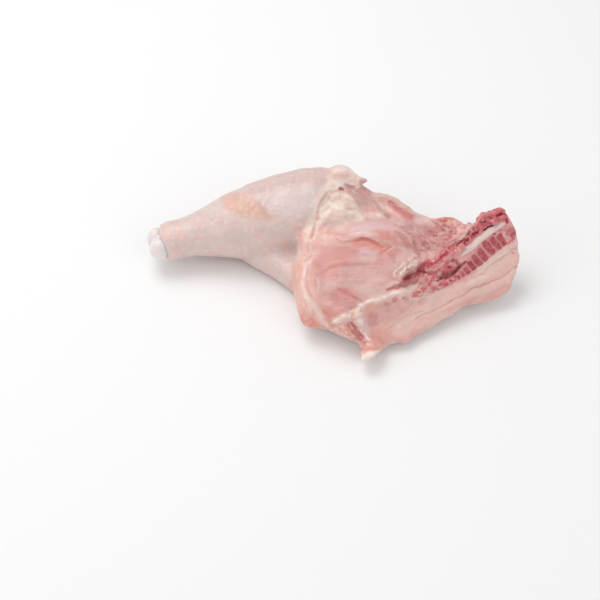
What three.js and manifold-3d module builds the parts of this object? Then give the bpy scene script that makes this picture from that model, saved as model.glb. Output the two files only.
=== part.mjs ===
// Raw chicken leg quarter: half of the back, the thigh and the drumstick in one piece, as cut from the bird.
// It lies skin side down on z = 0 with the inner side up. +X runs from the hock towards the head end of the
// back, +Y from the sawn edge towards the knee. The origin is under the middle of the piece. Millimetres.
import * as THREE from 'three';
import { mergeVertices } from 'three/addons/utils/BufferGeometryUtils.js';
import Module from 'manifold-3d';

const wasm = await Module();
wasm.setup();

// Driving dimensions
const FIT_GAP = 0.3;
const WELD = 1e-4; // points closer than this are one point

const CUTTER = 400; // side of the blocks that cut the piece

// The saw cut down the middle of the back: the skin's edge runs from the tail end to the head end, and the
// face leans back over the thigh by LEAN from the level.
const CUT_TAIL = new THREE.Vector3(45, -36, 14);
const CUT_HEAD = new THREE.Vector3(109, 0.3, 20);
const CUT_LEAN = THREE.MathUtils.degToRad(48);

// Where the inner surface and the skin meet, all round the back and the thigh, counter-clockwise from above
const RIM = [
  [20, -60, 9], // tail tip
  [38, -53, 13],
  [62, -41, 17],
  [89, -27, 20],
  [107, -14, 23], // head end of the back, skin corner
  [112, 3, 30],
  [104, 19.5, 36], // head end, inner corner
  [82, 19, 34],
  [66, 25, 33],
  [48, 30.5, 34.5],
  [39.5, 38, 37],
  [29, 45, 37.5],
  [15, 55, 41], // front of the knee
  [-7, 61, 39],
  [-22, 40, 27],
  [-23, 10, 25], // inside of the knee
  [-25.5, -13, 20],
  [-20, -36, 14], // rear of the thigh
  [0, -47, 12],
];
const RIM_CENTRE = [34, -4];
const RIM_STEPS = 112;
const INNER_RINGS = 21;
const SKIN_RINGS = 9;
const RING_CROWDING = 1.25; // above 1, the rings crowd towards the rim
const TOP_ROUNDING = 7; // exponents: the higher, the tighter the surface turns at the rim
const SKIN_ROUNDING = 3;
const SKIN_SAG = -2; // the skin side would reach this low, and lies flat on the board instead

// The roll of skin along the rear of the thigh, with a groove between it and the muscle. Its place round the
// rim is a share of the whole way from the tail tip, and its crest and groove lie at shares of the way out.
const ROLL = { middle: 0.877, half: 0.095, crest: 0.94, rise: 2, groove: 0.83, dip: -3.5, width: 0.05 };

// The inner surface: a slope, with muscles, hollows and the ridge of the backbone on it
const INNER_LEVEL = 35;
const INNER_SLOPE = 0.08;
const RELIEF = [
  { name: 'thigh muscle', at: [1, -17], size: [20, 16], turn: 20, height: 5 },
  { name: 'upper thigh muscle', at: [25, 9], size: [26, 8], turn: -12, height: 5 },
  { name: 'seam between the thigh muscles', at: [16, -3], size: [24, 3.5], turn: -14, height: -3 },
  { name: 'front muscle', at: [40, 24], size: [14, 4], turn: -25, height: 4 },
  { name: 'seam under the front muscle', at: [44, 17], size: [16, 3], turn: -18, height: -4 },
  { name: 'pelvis hollow', at: [52, -2], size: [13, 8], turn: 25, height: -4 },
  { name: 'kidney pocket', at: [44, -15], size: [11, 4], turn: 33, height: -9 },
  { name: 'knee fat, front lobe', at: [10, 33], size: [9, 7], turn: 50, height: 5 },
  { name: 'knee fat, rear lobe', at: [-6, 26], size: [8, 7], turn: 0, height: 6 },
  { name: 'hollow in the knee fat', at: [0, 16], size: [11, 4.5], turn: 10, height: -4 },
  { name: 'knee cap', at: [3, 52], size: [11, 9], turn: 0, height: 16 },
  { name: 'tail root', at: [26, -39], size: [13, 6], turn: 35, height: -6 },
];
const SPINE_CREST = [
  [30, -28, 0],
  [58, -9, 1],
  [80, 10, 8],
  [102, 23, 10],
];
const SPINE_HALF_WIDTH = 8;
const CREST_SAMPLES = 40;

// The drumstick: share of the way from hock to knee, and radius there
const HOCK = new THREE.Vector3(-104, 22, 16.5);
const KNEE = new THREE.Vector3(-4, 46, 26.5);
const SHANK_PROFILE = [
  [-0.02, 0],
  [-0.015, 8],
  [0.02, 12.2],
  [0.12, 12],
  [0.26, 15],
  [0.42, 20.5],
  [0.58, 24.2],
  [0.74, 25.8],
  [0.9, 24.5],
  [1.04, 20],
  [1.13, 11],
  [1.16, 0],
];
const SHANK_SIDES = 36;
const SHANK_STEPS = 28;

// Small forms that stand out of the main surfaces: place, half sizes, turn about Z in degrees
const LUMPS = [
  { name: 'tail stub', at: [20, -55, 9], half: [6.5, 8.5, 5.5], turn: -20 },
  { name: 'knee nub', at: [16.5, 50, 44], half: [4, 2.4, 2.2], turn: -20 },
];
const LUMP_SIDES = 18;

// The web of skin in the bend between the drumstick and the thigh: its free edge is a hollow curve
const WEB = {
  shank: [-52, 20],
  bend: [-31, 9],
  thigh: [-19, -8],
  inside: [0, 25],
  bottom: 6,
  height: 8,
  rounding: 5,
  rounding_steps: 3,
  edge_points: 8,
};

// The backbone, in the plane of the cut: u runs along the skin's edge towards the head, v up the face
const BONE_DEPTH = 9;
const BONE_CLEARANCE = 20; // its bed in the flesh is cut this far out of the face, through all that overhangs
const BONE_CURVE_STEPS = 4;
const BONE_LOWER = [
  [4, 10.8],
  [18, 8.2],
  [37, 8.3],
  [52, 10.2],
  [64, 12.6],
  [73, 14.2],
];
const BONE_HEAD = [
  [79, 16.5],
  [80, 23],
  [78.5, 31],
];
const BONE_UPPER = [
  [77, 36],
  [64, 37.5],
  [57, 35.2],
  [46, 29.8],
  [37, 28.6],
  [28, 25.5],
  [20, 25.5],
  [15, 22],
  [10, 16],
  [3, 13.2],
];
const MARROW_BLOCKS = { count: 10, from: [34.5, 10], to: [72, 19], height: 7.6, groove: 0.6, depth: 0.6 };
const SPONGY_LUMPS = {
  count: 24,
  from: [14, 19.5],
  to: [76, 34.5],
  spread: 2.5, // either way across the row
  proud: 0.8, // the foremost centres stand this far out of the cut
  radius: [1.7, 3],
  detail: 1,
  seed: 7,
};
const CORD = { radius: 1.9, sunk: 0.8, sides: 10, steps: 16 };
const CORD_ROUTE = [
  [37, 18],
  [46, 20.8],
  [56, 23.6],
  [66, 25.7],
  [76, 26.8],
];

// The hock joint at the drumstick's end
const HOCK_JOINT = {
  knob: 7.6,
  flattening: [1, 0.86, 0.8],
  spread: 4.4,
  stick_out: 2.5,
  stem: 6.2,
  stem_length: 12,
  sides: 18,
};

// Colours
const FLESH = new THREE.MeshStandardMaterial({ color: 0xd9a39c, roughness: 0.4, metalness: 0 });
const BONE = new THREE.MeshStandardMaterial({ color: 0xb86a6c, roughness: 0.5, metalness: 0 });
const NERVE = new THREE.MeshStandardMaterial({ color: 0xe2cbbf, roughness: 0.4, metalness: 0 });
const CARTILAGE = new THREE.MeshStandardMaterial({ color: 0xe9e0dc, roughness: 0.3, metalness: 0 });

const UP = new THREE.Vector3(0, 0, 1);

// Solids and geometries

function signedVolume(positions, indices) {
  const [a, b, c] = [new THREE.Vector3(), new THREE.Vector3(), new THREE.Vector3()];
  let volume = 0;
  for (let i = 0; i < indices.length; i += 3) {
    a.fromBufferAttribute(positions, indices[i]);
    b.fromBufferAttribute(positions, indices[i + 1]);
    c.fromBufferAttribute(positions, indices[i + 2]);
    volume += a.dot(b.cross(c)) / 6;
  }
  return volume;
}

function toSolid(geometry) {
  const bare = new THREE.BufferGeometry();
  bare.setAttribute('position', geometry.getAttribute('position'));
  bare.setIndex(geometry.getIndex());
  const merged = mergeVertices(bare, WELD);
  const triangles = Uint32Array.from(merged.getIndex().array);
  if (signedVolume(merged.getAttribute('position'), triangles) < 0) triangles.reverse();
  const vertices = Float32Array.from(merged.getAttribute('position').array);
  const mesh = new wasm.Mesh({ numProp: 3, vertProperties: vertices, triVerts: triangles });
  mesh.merge();
  return new wasm.Manifold(mesh);
}

function toMesh(solid, name, material) {
  const { vertProperties, triVerts } = solid.getMesh();
  const geometry = new THREE.BufferGeometry();
  geometry.setAttribute('position', new THREE.BufferAttribute(vertProperties, 3));
  geometry.setIndex(new THREE.BufferAttribute(triVerts, 1));
  geometry.computeVertexNormals();
  const mesh = new THREE.Mesh(geometry, material);
  mesh.name = name;
  return mesh;
}

function joined(solids) {
  return solids.reduce((all, next) => all.add(next));
}

// A seeded draw from 0 to 1, the same on every run: each whole number below DRAW_RANGE leads to the next
const DRAW_STEP = 16807;
const DRAW_RANGE = 2147483647;

function draws(seed) {
  let state = seed;
  return () => {
    state = (state * DRAW_STEP) % DRAW_RANGE;
    return state / DRAW_RANGE;
  };
}

function lumpSolid({ at, half, turn }) {
  const lump = new THREE.SphereGeometry(1, LUMP_SIDES, LUMP_SIDES / 2);
  lump.scale(...half);
  lump.rotateZ(THREE.MathUtils.degToRad(turn));
  lump.translate(...at);
  return toSolid(lump);
}

// The plane of the saw cut: u along the skin's edge, v up the face, n out of it

function cutFrame() {
  const u = CUT_HEAD.clone().sub(CUT_TAIL).normalize();
  const towardsThigh = new THREE.Vector3().crossVectors(UP, u).normalize();
  const lean = towardsThigh.multiplyScalar(Math.cos(CUT_LEAN)).addScaledVector(UP, Math.sin(CUT_LEAN));
  const n = new THREE.Vector3().crossVectors(u, lean).normalize();
  const v = new THREE.Vector3().crossVectors(n, u);
  return new THREE.Matrix4().makeBasis(u, v, n).setPosition(CUT_TAIL);
}
const CUT = cutFrame();

// Back and thigh

function bumpAt(x, y, { at, size, turn, height }) {
  const angle = THREE.MathUtils.degToRad(turn);
  const [dx, dy] = [x - at[0], y - at[1]];
  const along = (dx * Math.cos(angle) + dy * Math.sin(angle)) / size[0];
  const across = (dy * Math.cos(angle) - dx * Math.sin(angle)) / size[1];
  return height * Math.exp(-(along ** 2 + across ** 2));
}

const CREST = new THREE.CatmullRomCurve3(SPINE_CREST.map((p) => new THREE.Vector3(...p)));
const CREST_POINTS = CREST.getPoints(CREST_SAMPLES);

function crestAt(x, y) {
  let nearest = CREST_POINTS[0];
  let distance = Infinity;
  for (const point of CREST_POINTS) {
    const away = Math.hypot(x - point.x, y - point.y);
    if (away < distance) [nearest, distance] = [point, away];
  }
  return nearest.z * Math.exp(-((distance / SPINE_HALF_WIDTH) ** 2));
}

function innerHeight(x, y) {
  const relief = RELIEF.reduce((sum, bump) => sum + bumpAt(x, y, bump), 0);
  return INNER_LEVEL + INNER_SLOPE * y + relief + crestAt(x, y);
}

function rollAt(round, out) {
  const { middle, half, crest, rise, groove, dip, width } = ROLL;
  const here = Math.exp(-(((round - middle) / half) ** 4));
  const bump = (at) => Math.exp(-(((out - at) / width) ** 2));
  return here * (rise * bump(crest) + dip * bump(groove));
}

function backAndThigh() {
  const rim = new THREE.CatmullRomCurve3(RIM.map((p) => new THREE.Vector3(...p)), true, 'centripetal');
  const rings = INNER_RINGS + SKIN_RINGS;
  const geometry = new THREE.SphereGeometry(1, RIM_STEPS, rings);
  const positions = geometry.getAttribute('position');
  const uv = geometry.getAttribute('uv');
  for (let i = 0; i < positions.count; i += 1) {
    const round = THREE.MathUtils.euclideanModulo(uv.getX(i), 1);
    const edge = rim.getPoint(round);
    const ring = Math.round((1 - uv.getY(i)) * rings);
    const inner = ring <= INNER_RINGS;
    const step = inner ? ring / INNER_RINGS : (rings - ring) / SKIN_RINGS;
    const out = 1 - (1 - step) ** RING_CROWDING;
    const x = RIM_CENTRE[0] + (edge.x - RIM_CENTRE[0]) * out;
    const y = RIM_CENTRE[1] + (edge.y - RIM_CENTRE[1]) * out;
    const goal = inner ? innerHeight(x, y) + rollAt(round, out) : SKIN_SAG;
    const blend = Math.sqrt(1 - out ** (inner ? TOP_ROUNDING : SKIN_ROUNDING));
    positions.setXYZ(i, x, y, edge.z + (goal - edge.z) * blend);
  }
  return toSolid(geometry);
}

function skinWeb() {
  const { shank, bend, thigh, inside, bottom, height, rounding } = WEB;
  const sheet = new THREE.Shape();
  sheet.moveTo(...inside);
  sheet.lineTo(...shank);
  sheet.quadraticCurveTo(...bend, ...thigh);
  sheet.closePath();
  const solid = new THREE.ExtrudeGeometry(sheet, {
    depth: height,
    curveSegments: WEB.edge_points,
    bevelThickness: rounding,
    bevelSize: rounding,
    bevelSegments: WEB.rounding_steps,
  });
  solid.translate(0, 0, bottom);
  return toSolid(solid);
}

// Drumstick and hock joint

function shankFrame() {
  const along = KNEE.clone().sub(HOCK).normalize();
  const side = new THREE.Vector3().crossVectors(UP, along).normalize();
  const up = new THREE.Vector3().crossVectors(along, side);
  return new THREE.Matrix4().makeBasis(up, along, side).setPosition(HOCK);
}
const SHANK = shankFrame();

function drumstick() {
  const length = HOCK.distanceTo(KNEE);
  const outline = SHANK_PROFILE.map(([share, radius]) => new THREE.Vector2(radius, share * length));
  const points = new THREE.SplineCurve(outline).getSpacedPoints(SHANK_STEPS);
  points.forEach((point) => point.setX(Math.max(0, point.x)));
  points[0].setX(0);
  points[points.length - 1].setX(0);
  return toSolid(new THREE.LatheGeometry(points, SHANK_SIDES).applyMatrix4(SHANK));
}

function hockJoint(grow = 0) {
  const { knob, flattening, spread, stick_out: stickOut, stem, stem_length: stemLength, sides } = HOCK_JOINT;
  const knobs = [-1, 1].map((sign) => {
    const ball = new THREE.SphereGeometry(knob + grow, sides, sides / 2);
    ball.scale(...flattening);
    ball.translate(0, -stickOut, sign * spread);
    return toSolid(ball.applyMatrix4(SHANK));
  });
  const stemGeometry = new THREE.CylinderGeometry(stem + grow, stem + grow, stemLength + 2 * grow, sides);
  stemGeometry.translate(0, stemLength / 2 - stickOut, 0);
  return joined([...knobs, toSolid(stemGeometry.applyMatrix4(SHANK))]);
}

// Backbone and cord

function boneOutline(grow = 0) {
  const moved = ([u, v], du, dv) => new THREE.Vector2(u + du * grow, v + dv * grow);
  const lower = BONE_LOWER.map((point, i) => moved(point, i === 0 ? -1 : 0, -1));
  const head = BONE_HEAD.map((point) => moved(point, 1, 0));
  const upper = BONE_UPPER.map((point, i) => moved(point, i === BONE_UPPER.length - 1 ? -1 : 0, 1));
  const shape = new THREE.Shape();
  shape.moveTo(lower[0].x, lower[0].y);
  shape.splineThru(lower.slice(1));
  shape.splineThru([...head, upper[0]]);
  upper.slice(1).forEach((point) => shape.lineTo(point.x, point.y));
  shape.closePath();
  return shape;
}

function boneSlab(grow = 0, proud = 0) {
  const depth = BONE_DEPTH + grow + proud;
  const options = { depth, bevelEnabled: false, curveSegments: BONE_CURVE_STEPS };
  const slab = new THREE.ExtrudeGeometry(boneOutline(grow), options);
  slab.translate(0, 0, proud - depth);
  return toSolid(slab.applyMatrix4(CUT));
}

function marrowGrooves() {
  const { count, from, to, height, groove, depth } = MARROW_BLOCKS;
  const turn = Math.atan2(to[1] - from[1], to[0] - from[0]);
  return Array.from({ length: count + 1 }, (_, i) => {
    const cut = new THREE.BoxGeometry(groove, height, depth * 2);
    cut.rotateZ(turn);
    const share = i / count;
    cut.translate(from[0] + (to[0] - from[0]) * share, from[1] + (to[1] - from[1]) * share, 0);
    return toSolid(cut.applyMatrix4(CUT));
  });
}

function spongyLumps(grow = 0) {
  const { count, from, to, spread, proud, radius, detail, seed } = SPONGY_LUMPS;
  const draw = draws(seed);
  return Array.from({ length: count }, (_, i) => {
    const share = (i + draw()) / count;
    const size = radius[0] + (radius[1] - radius[0]) * draw() + grow;
    const lump = new THREE.IcosahedronGeometry(size, detail);
    const u = from[0] + (to[0] - from[0]) * share;
    const v = from[1] + (to[1] - from[1]) * share + spread * (2 * draw() - 1);
    lump.translate(u, v, proud - BONE_DEPTH * draw());
    return toSolid(lump.applyMatrix4(CUT));
  });
}

function cordSolid(grow = 0) {
  const { radius, sunk, sides, steps } = CORD;
  const route = new THREE.CatmullRomCurve3(CORD_ROUTE.map(([u, v]) => new THREE.Vector3(u, v, -sunk)));
  const section = new THREE.Shape();
  section.absarc(0, 0, radius + grow, 0, Math.PI * 2);
  const tube = new THREE.ExtrudeGeometry(section, {
    steps,
    extrudePath: route,
    curveSegments: sides / 2,
    bevelEnabled: false,
  });
  return toSolid(tube.applyMatrix4(CUT));
}

// Cutting blocks

function sawnAway() {
  const block = new THREE.BoxGeometry(CUTTER, CUTTER, CUTTER);
  block.translate(0, 0, CUTTER / 2);
  return toSolid(block.applyMatrix4(CUT));
}

function belowBoard() {
  const block = new THREE.BoxGeometry(CUTTER, CUTTER, CUTTER);
  block.translate(0, 0, -CUTTER / 2);
  return toSolid(block);
}

// Assembly

function fleshSolid() {
  return joined([backAndThigh().subtract(sawnAway()), drumstick(), skinWeb(), ...LUMPS.map(lumpSolid)])
    .subtract(belowBoard())
    .subtract(boneSlab(FIT_GAP, BONE_CLEARANCE))
    .subtract(joined(spongyLumps(FIT_GAP)))
    .subtract(cordSolid(FIT_GAP))
    .subtract(hockJoint(FIT_GAP));
}

function backboneSolid() {
  return joined([boneSlab(), ...spongyLumps()])
    .subtract(joined(marrowGrooves()))
    .subtract(cordSolid(FIT_GAP));
}

const legQuarter = new THREE.Group();
legQuarter.add(
  toMesh(fleshSolid(), 'flesh', FLESH),
  toMesh(backboneSolid(), 'backbone', BONE),
  toMesh(cordSolid(), 'spinal_cord', NERVE),
  toMesh(hockJoint(), 'hock_joint', CARTILAGE),
);

// The origin goes under the middle of the piece
const extent = new THREE.Box3().setFromObject(legQuarter);
const middle = extent.getCenter(new THREE.Vector3());
legQuarter.children.forEach((node) => node.geometry.translate(-middle.x, -middle.y, -extent.min.z));

export default legQuarter;
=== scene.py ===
"""Raw chicken leg quarter, skin side down: half of the back with its sawn backbone, thigh and drumstick.

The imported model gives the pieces' places and sizes. This file gives them their finish: the flesh is carved
from a close copy of its solid, and the bone, the cord and the gristle are made as pieces of their own.
Lengths are metres, unless a name ends in MM or a comment says mm. Places on the piece are found by looking
through the photograph's camera at one of its pixels and taking the point of the surface that lies there.
"""
import math
from collections import namedtuple

import bmesh
import bpy
import numpy as np
from mathutils import Matrix, Vector, noise
from mathutils.bvhtree import BVHTree


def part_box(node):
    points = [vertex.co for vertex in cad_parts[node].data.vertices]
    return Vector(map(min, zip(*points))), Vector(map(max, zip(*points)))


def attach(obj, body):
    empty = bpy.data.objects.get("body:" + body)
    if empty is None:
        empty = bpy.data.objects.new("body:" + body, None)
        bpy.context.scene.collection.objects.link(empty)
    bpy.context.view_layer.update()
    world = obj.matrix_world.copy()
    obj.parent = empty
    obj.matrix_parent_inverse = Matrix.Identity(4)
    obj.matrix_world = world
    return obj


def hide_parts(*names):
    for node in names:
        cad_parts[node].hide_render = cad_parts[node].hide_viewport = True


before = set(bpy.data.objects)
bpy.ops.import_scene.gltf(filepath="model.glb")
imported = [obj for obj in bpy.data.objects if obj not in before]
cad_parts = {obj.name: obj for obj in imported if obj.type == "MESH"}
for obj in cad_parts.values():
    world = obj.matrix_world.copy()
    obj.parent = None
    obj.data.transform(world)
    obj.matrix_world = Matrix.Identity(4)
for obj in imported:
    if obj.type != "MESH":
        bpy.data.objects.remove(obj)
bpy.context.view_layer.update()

bl_info = {
    "name": "Raw Chicken Leg Quarter",
    "version": (1, 0, 0),
    "blender": (4, 5, 0),
    "location": "3D View > Sidebar > Leg Quarter",
    "description": "Builds a raw chicken leg quarter with carved flesh, sawn bone, skin and a soft studio",
    "category": "Object",
}

MM = 0.001

# The photograph's camera, and where the part's origin lies in the frame that the photograph was measured in
FRAME_PIXELS = 600
FOCAL_PIXELS = 1574
PIXEL_MM = 0.6
CAMERA_PITCH = math.radians(48.5)
CAMERA_REACH = 0.944
HOCK_CORNER = Vector((-113.93, 11.11, 8.7)) * MM
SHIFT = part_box("hock_joint")[0] - HOCK_CORNER
CAMERA_AIM = SHIFT + Vector((-21, -9.6, 0)) * MM
CAMERA_BACK = Vector((0, -math.cos(CAMERA_PITCH), math.sin(CAMERA_PITCH)))
CAMERA_UP = Vector((0, math.sin(CAMERA_PITCH), math.cos(CAMERA_PITCH)))
CAMERA_PLACE = CAMERA_AIM + CAMERA_BACK * CAMERA_REACH

# The plane of the saw cut: u runs along the skin's edge towards the head, v up the face, n out of it
CUT_ORIGIN = SHIFT + Vector((45, -36, 14)) * MM
CUT_U = Vector((64, 36.3, 6)).normalized()
CUT_LEAN = math.radians(48)
CUT_SIDE = Vector((0, 0, 1)).cross(CUT_U).normalized()
CUT_N = CUT_U.cross(CUT_SIDE * math.cos(CUT_LEAN) + Vector((0, 0, 1)) * math.sin(CUT_LEAN)).normalized()
CUT_V = CUT_N.cross(CUT_U)
CUT_FRAME = Matrix((CUT_U, CUT_V, CUT_N)).transposed().to_4x4()
CUT_FRAME.translation = CUT_ORIGIN

# Colours of the tissues, as they look, red, green and blue of 255. Some stand in for painted shade or light,
# as noted where they are used
TISSUES = {
    "muscle": (220, 166, 159),
    "muscle_pale": (226, 182, 175),
    "muscle_dark": (212, 148, 141),
    "salmon": (228, 144, 128),
    "red": (200, 104, 106),
    "blood": (158, 46, 58),
    "fat": (238, 216, 200),
    "cream": (240, 219, 207),
    "tendon": (236, 212, 203),
    "film": (202, 164, 158),
    "lilac": (225, 191, 190),
    "peach": (231, 174, 160),
    "rim": (228, 182, 170),
    "band": (232, 192, 183),
    "skin": (222, 201, 195),
    "skin_edge": (214, 166, 156),
    "pocket": (168, 100, 94),
    "ligament": (229, 192, 184),
    "crimson": (221, 100, 109),
    "dark": (140, 40, 52),
    # black is the painted shadow in the gap over the cord, and a black speck in the bone
    "black": (48, 14, 18),
    "orange": (222, 176, 156),
    "marrow": (172, 50, 66),
    "marrow_wall": (216, 142, 142),
    "bright_red": (198, 60, 80),
    "pink_bone": (224, 158, 156),
    "white_bone": (234, 194, 187),
    "grey_red": (176, 104, 102),
    "meat_dark": (184, 114, 108),
    "knee_fat": (231, 211, 197),
    # roll is fat painted lighter, as painted light on the knee roll's shaded front
    "roll": (250, 233, 223),
    "skin_pink": (232, 196, 188),
    "yellow_fat": (255, 244, 232),
    "white_fat": (247, 232, 224),
    "peach_dark": (224, 155, 142),
    "silver": (220, 184, 180),
    "smoke": (176, 146, 142),
    "flap": (216, 182, 171),
    "salmon_skin": (222, 142, 126),
    "bridge": (236, 170, 168),
    "shred": (246, 226, 217),
    "pearl": (230, 213, 210),
    "follicle": (247, 230, 222),
    "blood_fleck": (164, 66, 72),
    "pale_fleck": (238, 196, 188),
    "pore": (138, 48, 56),
    "nerve": (241, 208, 200),
    "gristle": (232, 224, 222),
}

# The tissues without muscle fibres
SMOOTH_TISSUES = (
    "fat", "cream", "tendon", "rim", "peach", "band", "ligament", "lilac",
    "knee_fat", "yellow_fat", "white_fat",
)


def linear(colour):
    """A colour of 255 as scene linear values, by the sRGB curve."""
    share = np.asarray(colour, float) / 255
    return np.where(share <= 0.04045, share / 12.92, ((share + 0.055) / 1.055) ** 2.4)


# The rows of the tables below. Outlines and paths are in the photograph's pixels, and a path's third number
# scales the width there. soft is the softness of an edge in pixels, width half the width of a stroke in mm,
# rise how far the surface is raised in mm, and strength how much of the tissue's colour it takes.
Area = namedtuple("Area", "name outline soft rise tissue strength")
Stroke = namedtuple("Stroke", "name path width rise tissue strength")

# A place where the outline is drawn in or out: its middle, its reach to the side and up, and how far to
# the right and down it is drawn, all in pixels
Pull = namedtuple("Pull", "name middle reach_x reach_y right down")

# Ragged tissue: the size of its lumps in mm, how many times longer they are along their direction, that
# direction in degrees up from the right, and its two tissues
Ragged = namedtuple("Ragged", "name outline soft size length angle rise light dark strength")

# A form that stands out of the flesh and is fused with it: its radius and how deep it sinks, in mm
Raised = namedtuple("Raised", "name path radius sunk")

# A speck in the spongy bone, at a pixel, with its radius in mm
Speck = namedtuple("Speck", "x y radius tissue")

# Colour laid on a mask where a noise or measure runs from the low to the high value
Mottle = namedtuple("Mottle", "mask value low high strength tissue")

# Seeded noise: the size of its lumps in mm, its seed and its octaves
Noise = namedtuple("Noise", "size seed octaves")


def rows(kind, *entries):
    """A table of rows of one kind."""
    return tuple(kind(*entry) for entry in entries)
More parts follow.
